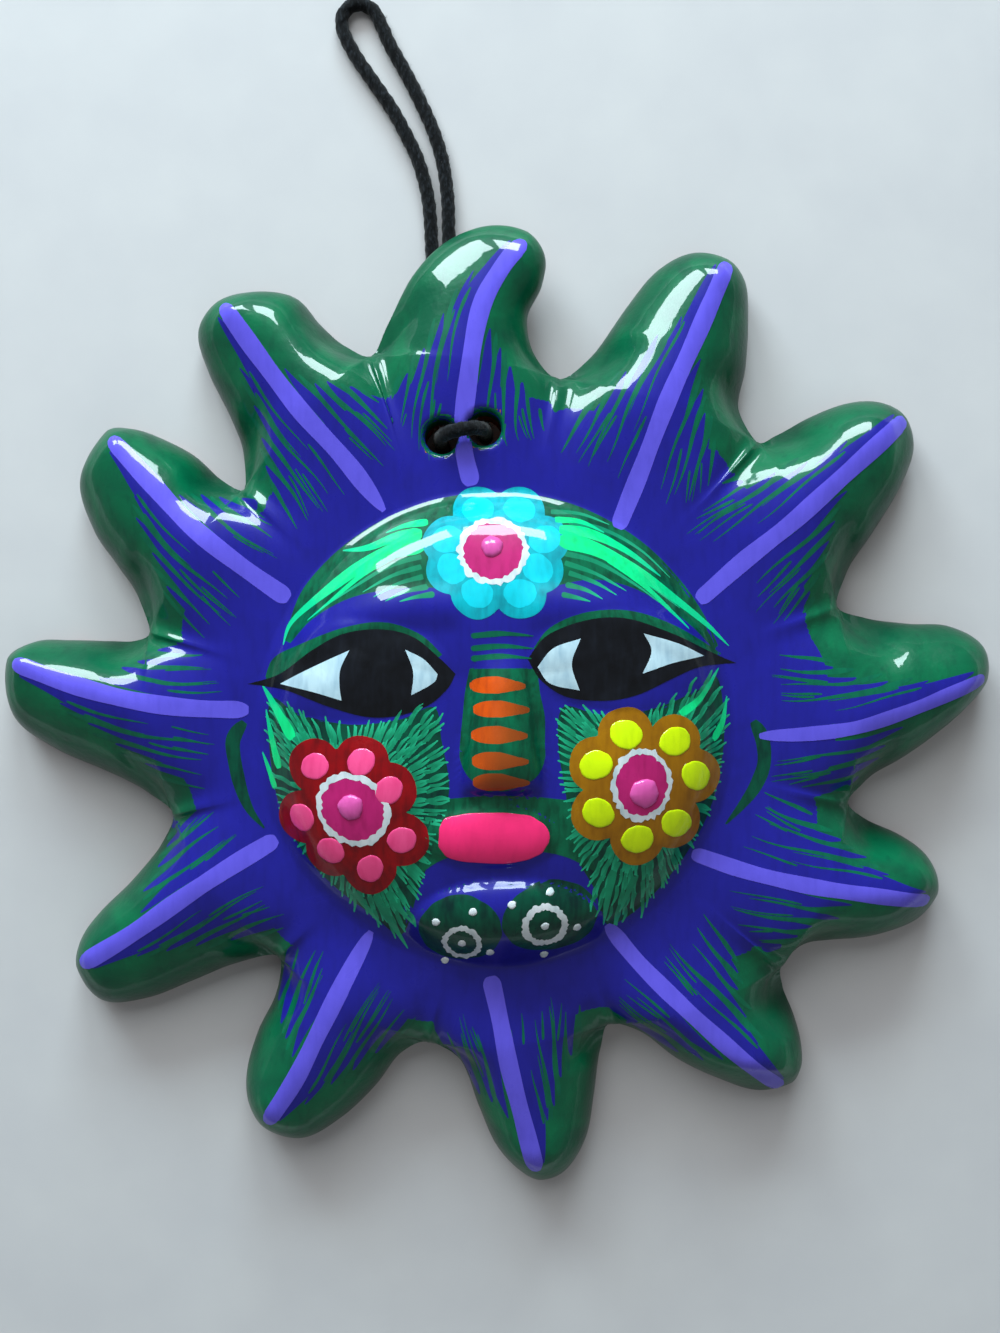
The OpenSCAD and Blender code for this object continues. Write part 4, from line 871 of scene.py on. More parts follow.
# The paints in the photograph's colours, each with its thin parts and some with the end of a stroke
blue_paint = lacquer("blue_paint", "blue_paint", (30, 30, 144), (22, 22, 116), streak=0.3)
lilac_paint = lacquer("lilac_paint", "lilac_paint", (98, 88, 218), (78, 70, 190), streak=0.25)
green_paint = lacquer("green_paint", "green_paint", (0, 102, 68), (0, 66, 44), streak=0.8)
streak_paint = lacquer("green_streak", "green_paint", (0, 104, 70), (0, 80, 62))
dark_paint = lacquer("dark_green", "green_paint", (0, 76, 54), (0, 40, 36), streak=0.7)
leaf_paint = lacquer("leaf_green", "leaf_green_paint", (4, 230, 140), (0, 190, 104), (6, 190, 140))
mint_paint = lacquer("mint_paint", "mint_paint", (12, 134, 94), (8, 112, 80), (34, 180, 132))
black_paint = lacquer("black_paint", "black_paint", (8, 10, 14), (20, 24, 32), streak=0.6)
eye_white_paint = lacquer("eye_white", "white_paint", (200, 230, 240), (150, 186, 205))
white_paint = lacquer("white_paint", "white_paint", (222, 228, 232), (176, 196, 200), streak=0.6)
# The orange's dull end colour also serves as painted shade on the lower nose bars
orange_paint = lacquer("orange_paint", "orange_paint", (222, 84, 4), (176, 62, 10), (150, 70, 20))
hot_pink_paint = lacquer("hot_pink", "hot_pink_paint", (250, 46, 118), (220, 36, 100), streak=0.25)
pink_paint = lacquer("pink_dot", "pink_paint", (248, 84, 146), (228, 56, 120), streak=0.4)
magenta_paint = lacquer("magenta", "magenta_paint", (192, 34, 114), (160, 20, 90))
dab_paint = lacquer("pink_dab", "pink_paint", (222, 92, 172), (196, 70, 148), streak=0.4)
red_paint = lacquer("red_paint", "red_paint", (146, 5, 14), (100, 4, 10), streak=0.6)
ochre_paint = lacquer("ochre_paint", "ochre_paint", (160, 108, 2), (132, 84, 0), streak=0.6)
yellow_paint = lacquer("yellow_dot", "yellow_paint", (214, 246, 0), (180, 214, 0), streak=0.4)
turquoise_paint = lacquer("turquoise", "turquoise_paint", (0, 176, 190), (0, 136, 150), streak=0.6)
cyan_paint = lacquer("cyan_dot", "cyan_paint", (8, 206, 224), (0, 170, 184), streak=0.4)

# The stripe on each ray, from its end at the face to the tip, in pixels of the photograph
STRIPES = [
    [(472, 487), (463, 440), (468, 380), (480, 310), (500, 270), (525, 240)],
    [(617, 530), (641, 470), (668, 400), (697, 335), (728, 262)],
    [(697, 602), (745, 560), (795, 520), (850, 470), (905, 418)],
    [(757, 736), (807, 734), (859, 727), (911, 710), (950, 694), (985, 677)],
    [(691, 853), (742, 870), (794, 883), (846, 892), (898, 899), (930, 900)],
    [(606, 924), (640, 964), (690, 1013), (736, 1054), (782, 1087)],
    [(490, 975), (500, 1020), (510, 1070), (523, 1120), (537, 1172)],
    [(372, 930), (345, 980), (320, 1030), (295, 1080), (266, 1124)],
    [(278, 838), (225, 870), (180, 900), (130, 935), (80, 965)],
    [(250, 710), (190, 708), (130, 700), (70, 684), (12, 662)],
    [(290, 600), (240, 565), (190, 525), (150, 482), (110, 437)],
    [(385, 512), (345, 460), (300, 410), (258, 355), (222, 304)],
]
STRIPE_MM = [3.3, 3.2, 3.2, 2.5, 2.8, 2.9, 3.2, 3.2, 3.2, 3.2, 3.2, 3.2]
# Where each stripe ends at the face: small numbers are round, large ones come to a point
STRIPE_ENDS = [0.3, 0.3, 0.3, 1.4, 0.3, 0.8, 0.3, 1.4, 0.3, 0.5, 0.3, 1.4]
FOOT_R = FACE_HALF[0] + COLLAR_W
stripe_paths = [even_path(smooth_curve(seen(pixels), 12), 0.4) for pixels in STRIPES]


def ray_stripes():
    paint = Paint()
    for path, width, end in zip(stripe_paths, STRIPE_MM, STRIPE_ENDS):
        paint.stroke(path, width, 3, thick=0.06, begin=end, end=0.06, spacing=0.5, blunt=0.9)
    return paint


def lane(i, offsets, start, stop):
    """A path beside a ray's stripe, from one distance off it to another, while the clay faces up.

    Its ends are in millimetres from the foot of the ray, towards the tip."""
    path = stripe_paths[i]
    lead = path[0] - path[5]
    path = even_path(np.vstack([path[0] + lead / np.linalg.norm(lead) * COLLAR_W, path]), 0.5)
    way = np.gradient(path, axis=0)
    way /= np.linalg.norm(way, axis=1)[:, None]
    run = run_of(path)
    run -= np.interp(FOOT_R, np.linalg.norm(path, axis=1), run)
    offset = np.interp(run, [start, stop], offsets) + 0.2 * np.sin(run * 0.35 + offsets[0])
    path = path + np.stack([-way[:, 1], way[:, 0]], -1) * offset[:, None]
    turn = np.degrees(np.arctan2(path[:, 1], path[:, 0]))
    share = ((rim_turn(i) - turn) % 360) / (rim_turn(i) - rim_turn(i + 1))
    path = path[(run > start) & (run < stop) & ((run > 0) | (share > 0.03) & (share < 0.97))]
    steep = drape(path)[1][:, 2] < 0.3
    return path[:steep.argmax()] if steep.any() else path


def ray_length(i):
    return run_of(stripe_paths[i])[-1] - (FOOT_R - np.linalg.norm(stripe_paths[i][0]))


# How far over the collar the blue comes, how much less in the valleys, and the wave of its edge
BAND_REACH = 0.82
BAND_DIP = 0.12
BAND_WAVE = 0.02


def collar_band(paint):
    """Blue all round the collar, up to the foot of the rays."""
    s = np.linspace(-1, 1, 33)[:-1]
    rows = np.linspace(0, 1, 20) ** 0.9
    flat = []
    for i in range(RAYS):
        dip = BAND_DIP * (1 - (1 - np.abs(s)) ** 2) ** 4
        share = BAND_REACH - dip + BAND_WAVE * np.sin(s * 9 + 2 * i)
        flat.append(on_ray(i, rows[:, None] * share, s[None, :])[..., :2])
    flat = np.concatenate(flat, 1)
    flat = np.concatenate([flat[:1] * 0.95, flat[:1] * 0.98, flat])
    points, normals = drape(flat)
    rise = np.full(flat.shape[:2], LAYER * 1.4)
    paint.skin(points, normals, rise, "ring")


# The blue fingers side by side along each stripe: on either side the first one's distance from it,
# and how far up the ray each of them comes, as a share of the ray
FINGER_GAP = 2.6
FINGERS = {1: (4.6, (0.66, 0.48, 0.3, 0.14)), -1: (2.9, (0.46, 0.36, 0.26, 0.15, 0.05))}
FINGER_ROOT = -11
STRIP_MM = 2.9
STRIP_OFFSETS = (3.2, 1.7)
LEAST_POINTS = 6
# Green streaks: where each kind may stop, from the ray's foot, and its least and greatest width
BROAD_STREAK = ((-9, -6), (0.9, 1.35))
FINE_STREAK = ((-10, -7), (0.4, 0.7))
LONG_STREAK = ((-1, 3), (0.5, 0.8))
# How far off the stripe each long one lies, and the share of the ray at which it begins
LONG_STARTS = ((3.6, 0.62), (5.2, 0.5))


def ray_fields():
    paint = Paint()
    collar_band(paint)
    for i in range(RAYS):
        length = ray_length(i)
        strip = lane(i, STRIP_OFFSETS, FINGER_ROOT, length - 1.6)
        paint.stroke(strip, STRIP_MM, 1, thick=0.02, begin=0.3, end=0.25)
        for way, (first, tips) in FINGERS.items():
            for k, tip in enumerate(tips):
                offset = way * (first + FINGER_GAP * k + rng.uniform(-0.2, 0.2))
                path = lane(i, (offset, offset * 0.85), FINGER_ROOT, length * tip + rng.uniform(-1.4, 1.4))
                if len(path) >= LEAST_POINTS:
                    paint.stroke(path, rng.uniform(2.7, 3.2), 1, thick=0.02, begin=0.3, end=0.55)
    return paint


def inward_streak(paint, i, offset, start, stops, widths):
    """A thin stroke that comes down a ray beside its stripe and thins out towards the face."""
    stop = rng.uniform(*stops)
    width = rng.uniform(*widths)
    path = lane(i, (offset * 1.04, offset * 0.86), stop, start)[::-1]
    if len(path) >= LEAST_POINTS:
        paint.stroke(path, width, 2, thick=0.02, begin=2.5, end=0.8)


def ray_streaks():
    """Green strokes between the blue fingers, pointing at the face, with finer ones among them."""
    paint = Paint()
    for i in range(RAYS):
        length = ray_length(i)
        for way, (first, tips) in FINGERS.items():
            for k, tip in enumerate(tips):
                offset = way * (first + FINGER_GAP * (k + 0.5))
                inward_streak(paint, i, offset, length * tip * 0.9, *BROAD_STREAK)
            for _ in range(4):
                offset = way * rng.uniform(2.6, 12)
                inward_streak(paint, i, offset, rng.uniform(-2, 4), *FINE_STREAK)
        for offset, start in LONG_STARTS:
            inward_streak(paint, i, offset, length * start, *LONG_STREAK)
    return paint


paint_piece(ray_fields(), "blue_ray_fields", blue_paint, "ray_fields")
paint_piece(ray_streaks(), "green_ray_streaks", streak_paint)
paint_piece(ray_stripes(), "lilac_stripes", lilac_paint, "ray_stripes")


# An oval on the nose that the blue leaves open, as shares of the face, because the nose's green covers it
OVAL_AT = (0.03, 0.02)
OVAL_HALF = (0.15, 0.21)


def face_field():
    paint = Paint()
    turns = np.linspace(0, -2 * np.pi, 320, endpoint=False)
    circle = np.stack([np.cos(turns), np.sin(turns)], -1)
    inline = place(OVAL_AT) + circle * place(OVAL_HALF)
    rho = 1 - np.linspace(0, 1, 90) ** 1.2
    outer = circle * FACE_HALF
    flat = inline[None] + (outer - inline)[None] * rho[:, None, None]
    points, normals = drape(flat)
    rise = np.full(flat.shape[:2], 0.8 * LAYER)
    paint.skin(points, normals, rise, "ring")
    return paint


paint_piece(face_field(), "blue_face_field", blue_paint, "face_field")

FOREHEAD_TOP = [[-0.87, 0.36], [-0.8, 0.57], [-0.65, 0.74], [-0.45, 0.875], [-0.23, 0.955], [0, 0.98],
                [0.24, 0.955], [0.46, 0.87], [0.66, 0.73], [0.84, 0.52], [0.93, 0.34]]
FOREHEAD_LOW = [[-0.84, 0.35], [-0.74, 0.45], [-0.58, 0.53], [-0.4, 0.56], [-0.22, 0.56], [0, 0.5],
                [0.24, 0.57], [0.4, 0.6], [0.58, 0.56], [0.78, 0.44], [0.91, 0.32]]


def filled(areas, layer, spacing=0.8):
    """Paint between pairs of lines."""
    paint = Paint()
    for top, low in areas:
        paint.fill(top, low, layer, spacing)
    return paint


def patched(areas, layer, crown=0.0, spacing=0.8):
    """Paint inside loops, each given with its middle."""
    paint = Paint()
    for loop, at in areas:
        paint.patch(loop, at, layer, crown, spacing)
    return paint


def stroked(strokes, layer, thick, begin, end):
    """A brush stroke of its own width along each row of pixels."""
    paint = Paint()
    for pixels, width in strokes:
        paint.stroke(smooth_curve(seen(pixels), 8), width, layer, thick, begin, end)
    return paint


# Leaf strokes in pixels, from the flower outwards, with their widths: bright ones, then finer ones
LEAVES = [
    ([(426, 545), (396, 550), (362, 566), (322, 595), (292, 622), (283, 646)], 3.1),
    ([(424, 534), (398, 537), (368, 548), (341, 551)], 2.4),
    ([(430, 522), (405, 526), (384, 534)], 1.7),
    ([(400, 552), (366, 572), (330, 602), (306, 622)], 1.5),
    ([(556, 540), (592, 548), (632, 569), (672, 597), (706, 624), (730, 647)], 2.9),
    ([(556, 530), (590, 534), (626, 551), (662, 578)], 2.2),
    ([(552, 520), (580, 522), (606, 534)], 1.6),
    ([(604, 556), (640, 582), (672, 612), (690, 630)], 1.6),
]
FINE_LEAF_MM = 1.2
FINE_LEAVES = [
    [(424, 556), (390, 566), (356, 586), (326, 606)], [(424, 566), (392, 576), (360, 594)],
    [(426, 576), (398, 584), (372, 598)], [(430, 586), (404, 592), (384, 602)],
    [(420, 548), (384, 556), (350, 574), (316, 602)], [(436, 594), (416, 597), (398, 602)],
    [(558, 552), (596, 562), (634, 584), (664, 606)], [(562, 562), (596, 574), (628, 592)],
    [(566, 572), (594, 582), (618, 596)], [(564, 584), (586, 590), (604, 600)],
    [(560, 546), (600, 556), (644, 582), (682, 610)], [(560, 594), (578, 598), (592, 602)],
    [(566, 522), (604, 530), (640, 550), (672, 580)], [(548, 512), (580, 514), (612, 526)],
]

# The upper and the lower line of each lid, in pixels of the photograph
LIDS = [
    ([(262, 684), (273, 658), (300, 644), (345, 627), (385, 622), (420, 634), (444, 656)],
     [(270, 686), (290, 678), (318, 658), (350, 642), (385, 638), (412, 646), (436, 662)]),
    ([(532, 650), (550, 627), (585, 612), (628, 610), (668, 622), (706, 643), (724, 655)],
     [(540, 654), (556, 640), (588, 630), (625, 628), (662, 638), (698, 652), (716, 660)]),
]

forehead = filled([(place(FOREHEAD_TOP), place(FOREHEAD_LOW))], 1.2)
paint_piece(forehead, "green_forehead", green_paint, "forehead_ground")
leaves = stroked(LEAVES, 3, thick=0.05, begin=0.4, end=0.9)
paint_piece(leaves, "forehead_leaf_strokes", leaf_paint, "forehead_leaves")
fine_leaves = stroked([(pixels, FINE_LEAF_MM) for pixels in FINE_LEAVES], 2, thick=0.03, begin=0.3, end=0.9)
paint_piece(fine_leaves, "forehead_fine_strokes", mint_paint)
lids = filled([(seen(top), seen(low)) for top, low in LIDS], 1)
paint_piece(lids, "green_lids", green_paint, "brow_lids")

# The eyes, as pixels of the photograph: each edge of a shape begins at the corner where the last one ends
LEFT_EYE = [[(281, 673), (315, 648), (345, 633), (382, 629), (414, 637), (441, 659), (456, 674)],
            [(448, 689), (428, 706), (398, 716), (366, 717), (329, 707), (288, 691), (262, 686), (247, 684)]]
RIGHT_EYE = [[(547, 635), (586, 620), (625, 618), (664, 630), (703, 648), (737, 663)],
             [(700, 667), (670, 680), (638, 695), (605, 701), (566, 697), (540, 680), (527, 659)]]
LEFT_WHITES = [
    [[(315, 666), (350, 650)], [(341, 669), (340, 685), (342, 701)], [(312, 692), (280, 684)]],
    [[(424, 659), (438, 674)], [(434, 683), (411, 696)], [(413, 672), (405, 649)]],
]
RIGHT_WHITES = [
    [[(572, 664), (580, 691)], [(550, 684), (537, 667)], [(553, 648), (581, 638)]],
    [[(677, 643), (704, 656)], [(674, 663), (642, 674)], [(651, 651), (643, 633)]],
]


def cornered(edges):
    """A loop of smooth edges that meet at corners, with its middle."""
    whole = [[last[-1]] + edge for last, edge in zip([edges[-1]] + edges, edges)]
    loop = np.vstack([even_path(smooth_curve(seen(edge), 8), 0.5)[:-1] for edge in whole])
    return loop, loop.mean(0)


for name, eye, whites in (("left_eye", LEFT_EYE, LEFT_WHITES), ("right_eye", RIGHT_EYE, RIGHT_WHITES)):
    paint_piece(patched([cornered(eye)], 2), name + "_almond", black_paint, name + "_black")
    lights = patched([cornered(edges) for edges in whites], 4)
    paint_piece(lights, name + "_light", eye_white_paint, name + "_whites")

NOSE_LEFT = [[-0.1, 0.26], [-0.12, 0.16], [-0.13, 0.06], [-0.14, -0.04], [-0.14, -0.11], [-0.11, -0.17],
             [-0.06, -0.21]]
NOSE_RIGHT = [[0.17, 0.26], [0.18, 0.16], [0.2, 0.06], [0.2, -0.04], [0.2, -0.11], [0.17, -0.17],
              [0.11, -0.21]]
BARS = [(496, 686), (500, 710), (498, 736), (499, 762), (500, 783)]
BAR_HALF = (4.6, 1.45)
THIN_BARS = [0.38, 0.33, 0.29]


def nose_bars():
    paint = Paint()
    for k, at in enumerate(seen(BARS)):
        left = at - (BAR_HALF[0], 0)
        path = smooth_curve([left, at + (0, 0.15), at + (BAR_HALF[0] * 1.1, -0.1)], 8)
        # Painted shade: each lower bar is moved further towards the dull end colour, darker down the nose
        paint.stroke(path, BAR_HALF[1] * 2.1, 2, thick=0.08, begin=0.55, end=0.5, spacing=0.3, blunt=0.5,
                     thin_and_shade=0.16 * k)
    return paint


def bridge_bars():
    paint = Paint()
    for y in THIN_BARS:
        paint.stroke(smooth_curve(place([[-0.1, y], [0.03, y + 0.01], [0.16, y]]), 8), 1.1, 2)
    return paint


MOUTH_TOP = [(434, 800), (500, 795), (572, 800)]
MOUTH_LOW = [(412, 880), (448, 858), (505, 850), (562, 856), (602, 876)]
LIPS_AT = place(LIPS_SHARES)
LIPS_HALF = (9.3, 4.3)
LIPS_POWER = 0.72


def lips():
    a = np.linspace(0, -2 * np.pi, 60, endpoint=False)
    c, s = np.cos(a), np.sin(a)
    wave = 1 + 0.03 * rough_wave(a)
    loop = LIPS_AT + np.stack([np.sign(c) * np.abs(c) ** LIPS_POWER * LIPS_HALF[0] * wave,
                               np.sign(s) * np.abs(s) ** LIPS_POWER * LIPS_HALF[1] * wave], -1)
    return patched([(loop, LIPS_AT)], 2, 0.15)


nose = filled([(place(NOSE_LEFT), place(NOSE_RIGHT))], 1.3, spacing=0.5)
paint_piece(nose, "green_nose", green_paint, "nose_ground")
paint_piece(nose_bars(), "orange_bars", orange_paint, "nose_bars")
paint_piece(bridge_bars(), "bridge_bars", streak_paint)
mouth = filled([(seen(MOUTH_TOP), seen(MOUTH_LOW))], 1.3, spacing=0.5)
paint_piece(mouth, "green_lip_ground", green_paint, "mouth_ground")
paint_piece(lips(), "pink_mouth", hot_pink_paint, "mouth_paint")

LEFT_GROUND = [[-0.92, 0.13], [-0.79, 0.07], [-0.58, 0.03], [-0.38, 0.05], [-0.24, 0.1], [-0.21, -0.03],
               [-0.18, -0.24], [-0.24, -0.46], [-0.3, -0.62], [-0.38, -0.84], [-0.5, -0.76],
               [-0.65, -0.65], [-0.79, -0.5], [-0.89, -0.3], [-0.93, -0.06]]
RIGHT_GROUND = [[0.27, 0.1], [0.42, 0.07], [0.62, 0.09], [0.83, 0.17], [0.91, 0.22], [0.94, 0.1],
                [0.94, -0.08], [0.89, -0.31], [0.78, -0.52], [0.61, -0.72], [0.46, -0.8],
                [0.4, -0.64], [0.31, -0.47], [0.28, -0.25], [0.25, -0.05]]
LEFT_AT, RIGHT_AT = place(CHEEK_SHARES)


def cheek_strokes(shares, at):
    """Short light strokes that fan out round a flower, row behind row."""
    paint = Paint()
    edge = even_path(smooth_curve(place(shares), 12, closed=True), 0.86)
    for p in edge:
        away = p - at
        far = np.linalg.norm(away)
        turn = rng.normal(0, 0.05)
        away = (away / far) @ np.array([[math.cos(turn), -math.sin(turn)], [math.sin(turn), math.cos(turn)]])
        aside = np.array([-away[1], away[0]]) * rng.uniform(-0.5, 0.5)
        outer = far + rng.uniform(-0.2, 0.8)
        while outer > CHEEK_R * 0.85:
            inner = max(outer - rng.uniform(3.4, 4.8), CHEEK_R * 0.66)
            middle = at + away * (inner + outer) / 2 + aside
            path = smooth_curve([at + away * inner, middle, at + away * outer], 8)
            paint.stroke(path, rng.uniform(0.62, 0.86), 2, thick=0.03, begin=0.6, end=0.5, spacing=0.4,
                         blunt=0.5)
            outer -= rng.uniform(2.7, 3.4)
    return paint


CHEEKS = (("left_cheek", LEFT_GROUND, LEFT_AT), ("right_cheek", RIGHT_GROUND, RIGHT_AT))
for name, shares, at in CHEEKS:
    ground = patched([(smooth_curve(place(shares), 8, closed=True), at)], 1)
    paint_piece(ground, name + "_green", dark_paint, name + "_ground")
for name, shares, at in CHEEKS:
    paint_piece(cheek_strokes(shares, at), name + "_hatching", mint_paint, name + "_strokes")

# Broader strokes among the hatching, in pixels, from the flower outwards, with their widths
CHEEK_LEAVES = [
    ([(294, 741), (284, 722), (262, 684)], 2.2), ([(280, 770), (273, 742), (266, 708)], 1.8),
    ([(276, 790), (270, 772), (262, 750)], 1.3), ([(678, 716), (700, 698), (719, 667)], 1.8),
    ([(712, 742), (722, 722), (727, 694)], 1.6),
]
CHEEK_TUFTS = [
    ([(374, 893), (390, 920), (409, 950)], 1.9), ([(354, 890), (366, 906), (383, 926)], 1.5),
    ([(386, 890), (398, 908), (416, 926)], 1.4), ([(614, 868), (608, 896), (603, 926)], 1.8),
    ([(634, 876), (628, 892), (618, 914)], 1.5),
]

cheek_leaves = stroked(CHEEK_LEAVES, 3, thick=0.03, begin=0.5, end=0.8)
paint_piece(cheek_leaves, "cheek_leaf_strokes", leaf_paint)
tufts = stroked(CHEEK_TUFTS, 3, thick=0.03, begin=0.5, end=0.8)
paint_piece(tufts, "cheek_tuft_strokes", mint_paint)


def lobed(at, lobes, r, core):
    """The outer line round several discs that meet round a core."""
    a = np.linspace(0, -2 * np.pi, 160, endpoint=False)
    way = np.stack([np.cos(a), np.sin(a)], -1)
    reach_to = np.full(len(a), core)
    for lobe in lobes:
        d = way @ lobe
        h = r * r - (lobe @ lobe - d * d)
        reach_to = np.maximum(reach_to, np.where(h > 0, d + np.sqrt(np.maximum(h, 0)), 0))
    reach_to = reach_to * (1 + 0.015 * rough_wave(a))
    return at + way * reach_to[:, None]


def ragged_ring(paint, at, half, hole, layer, tilt=0.0, count=120, share=0.06):
    """A ring of paint with uneven edges; hole is the share of it that is open."""
    half = np.asarray(half)
    outer, inner = (ragged(ellipse(at, half * size, count, tilt), at, share) for size in (1, hole))
    paint.ring(outer, inner, layer)


# Shares of a flower's size, of its ring's size, and the height of its dab
LOBE_SHARE = 0.36
CORE_SHARE = 0.6
RING_HOLE_SHARE = 0.79
CENTRE_SHARE = 0.92
DAB_RISE = 0.9


def flower(node, at, r, dots, ring, dab, dot, petal, spot):
    """Petals, dots, ring, centre and dab, each its own layer of paint."""
    name = node + "_flower"
    spots = place(dots)
    petals = patched([(lobed(at, spots - at, LOBE_SHARE * r, CORE_SHARE * r), at)], 3)
    paint_piece(petals, name + "_petals", petal, node + "_petals")
    loops = [ellipse(one, dot[:2], 36, rng.uniform(-60, 60), 0.03) for one in spots]
    paint_piece(patched(zip(loops, spots), 4, dot[2], 0.4), name + "_dots", spot, node + "_dots")
    middle = seen([ring[0]])[0]
    half, tilt = np.array(ring[1]), ring[2]
    circle = Paint()
    ragged_ring(circle, middle, half, RING_HOLE_SHARE, 5, tilt)
    paint_piece(circle, name + "_ring", white_paint, node + "_ring")
    centre = patched([(ellipse(middle, half * CENTRE_SHARE, 64, tilt, 0.02), middle)], 4, 0.05)
    paint_piece(centre, name + "_centre", magenta_paint, node + "_centre")
    top = seen([dab[0]])[0]
    peak = patched([(ellipse(top, (dab[1], dab[1]), 32, 0, 0.06), top)], 4, DAB_RISE, 0.25)
    paint_piece(peak, name + "_dab", dab_paint, node + "_dab")


# Each flower's middle, size and dots, its ring's middle in pixels, half sizes and tilt, its dab's place
# and size, its dots' half sizes and height, and its two paints
FLOWERS = [
    ("forehead", place([0, 0.7]), FLOWER_R,
     [[-0.17, 0.65], [-0.07, 0.55], [0.1, 0.55], [0.17, 0.65], [0.2, 0.77], [0.1, 0.9], [-0.07, 0.9],
      [-0.19, 0.77]], ((493, 551), (6.1, 6.0), 0), ((492, 547), 1.9), (2.9, 2.5, 0.08),
     turquoise_paint, cyan_paint),
    ("left", LEFT_AT, CHEEK_R,
     [[-0.72, -0.14], [-0.53, -0.12], [-0.42, -0.23], [-0.37, -0.43], [-0.5, -0.55], [-0.66, -0.48],
      [-0.78, -0.35]], ((352.5, 810), (6.8, 6.0), -35), ((351, 807), 2.2), (2.6, 2.3, 0.14),
     red_paint, pink_paint),
    ("right", RIGHT_AT, CHEEK_R,
     [[0.52, -0.01], [0.72, -0.04], [0.81, -0.18], [0.73, -0.37], [0.57, -0.43], [0.41, -0.32],
      [0.4, -0.13]], ((642, 785), (5.3, 6.3), 0), ((644, 793), 2.5), (2.9, 2.5, 0.16),
     ochre_paint, yellow_paint),
]
for row in FLOWERS:
    flower(*row)

CHIN_LOBES = [((460, 931), (7.2, 6.2)), ((551, 919), (8.3, 6.4))]
CHIN_RINGS = [((462, 943), 3.5), ((545, 926), 4.0)]
CHIN_HOLE_SHARE = 0.66
CHIN_DOT_HALF = (0.8, 0.72)
CHIN_DOTS = [(462, 943), (473, 912), (436, 922), (490, 952), (445, 960),
             (545, 926), (512, 905), (550, 892), (577, 927), (544, 954)]


def ellipses(pixels_and_halves, count, tilt, uneven):
    """Uneven ellipses round pixels of the photograph, each with its middle."""
    for px, half in pixels_and_halves:
        at = seen([px])[0]
        yield ellipse(at, half, count, tilt, uneven), at


def chin_rings():
    paint = Paint()
    for px, r in CHIN_RINGS:
        ragged_ring(paint, seen([px])[0], (r, r), CHIN_HOLE_SHARE, 2, count=96, share=0.08)
    return paint


lobes = patched(ellipses(CHIN_LOBES, 72, 8, 0.02), 1.3, spacing=0.6)
paint_piece(lobes, "chin_lobes_green", dark_paint, "chin_lobes")
paint_piece(chin_rings(), "chin_white_rings", white_paint, "chin_rings")
dots = patched(ellipses([(px, CHIN_DOT_HALF) for px in CHIN_DOTS], 20, 30, 0.08), 2, 0.15, 0.3)
paint_piece(dots, "chin_white_dots", white_paint, "chin_dots")

CRESCENTS = [([(246, 720), (235, 735), (233, 750), (240, 785), (250, 810), (266, 830)], 2.6),
             ([(752, 719), (762, 738), (764, 763), (756, 785), (742, 805), (724, 826)], 2.6)]
crescents = stroked(CRESCENTS, 2, thick=0.03, begin=0.8, end=0.5)
paint_piece(crescents, "collar_crescent_strokes", dark_paint, "collar_crescents")

# The cord's route from the frame's origin; the last number is its height above lying on the table
STITCH = [[-7.5, 27, 1.9], [-7.5, 30, 1.9], [-7.6, 34, 1], [-8, 39, 0.3], [-8.8, 43, 0.5],
          [-9.6, 46, 2.4], [-10, 47, 5.5], [-10, 47.2, 9], [-9.6, 47.3, 13], [-8.4, 47.5, 15.6],
          [-6.1, 47.9, 16.6], [-3.8, 48.3, 15.6], [-2.5, 48.5, 13], [-2.1, 48.6, 9], [-2.1, 48.6, 6]]
LOOP = [[-2.1, 48.6, 6], [-2.1, 48.6, 3.2], [-2.4, 50, 0.8], [-3.2, 54, 0], [-4.6, 60, 0],
        [-6.4, 66, 0], [-7.8, 72, 0], [-8.6, 79, 0], [-8.9, 86, 0], [-9.1, 93, 0], [-10, 99.5, 0],
        [-11.6, 105, 0], [-14, 110.5, 0], [-16.8, 116, 0], [-19.6, 121, 0], [-21.2, 124.6, 0],
        [-22.9, 127.6, 0], [-25.6, 128.6, 0], [-28, 127.2, 0], [-28.4, 124.2, 0], [-26.4, 119.8, 0],
        [-23.2, 115, 0], [-19.4, 109.5, 0], [-16.4, 104, 0], [-14.3, 99.3, 0], [-12.7, 93, 0],
        [-12.1, 86, 0], [-12, 79, 0], [-12.8, 70, 0], [-14.2, 61, 0], [-14.8, 53, 0],
        [-14.2, 45, 0], [-12.4, 38, 0.2], [-10.8, 33.6, 1.2], [-10.5, 30, 1.9], [-10.5, 27, 1.9]]
KNOT_AT = np.array([-9, 27, 1.9 + CORD_D / 2])
KNOT_L = 9.0
WRAPS = 3.1
WRAP_R = 1.8
TAIL_GAP = 1.43
# A tail's points: how far aside, how far up the sun and how far under its start
TAIL = ((0, 24, 0), (0, 20, 0.6), (0.3, 15.5, 1.3), (0.6, 11.6, 1.4))
# A loose fibre's least and greatest length, its half width and its least height over the table
FIBRE_MM = (0.25, 0.75)
FIBRE_HALF = 0.03
FIBRE_LEAST_H = 0.05
STRANDS = 3
TWIST_MM = 7.0


def cord_line(route):
    return even_path(smooth_curve(np.array(route) + (0, 0, CORD_D / 2), 8), 0.7)


def frames_along(line):
    """A direction across the line at each point, carried along without twisting."""
    ways = np.gradient(line, axis=0)
    ways /= np.linalg.norm(ways, axis=1)[:, None]
    side_way = np.cross(ways[0], (0.3, 0.2, 0.9))
    sides = []
    for way in ways:
        side_way = side_way - way * (side_way @ way)
        side_way /= np.linalg.norm(side_way)
        sides.append(side_way)
    sides = np.array(sides)
    return ways, sides, np.cross(ways, sides)


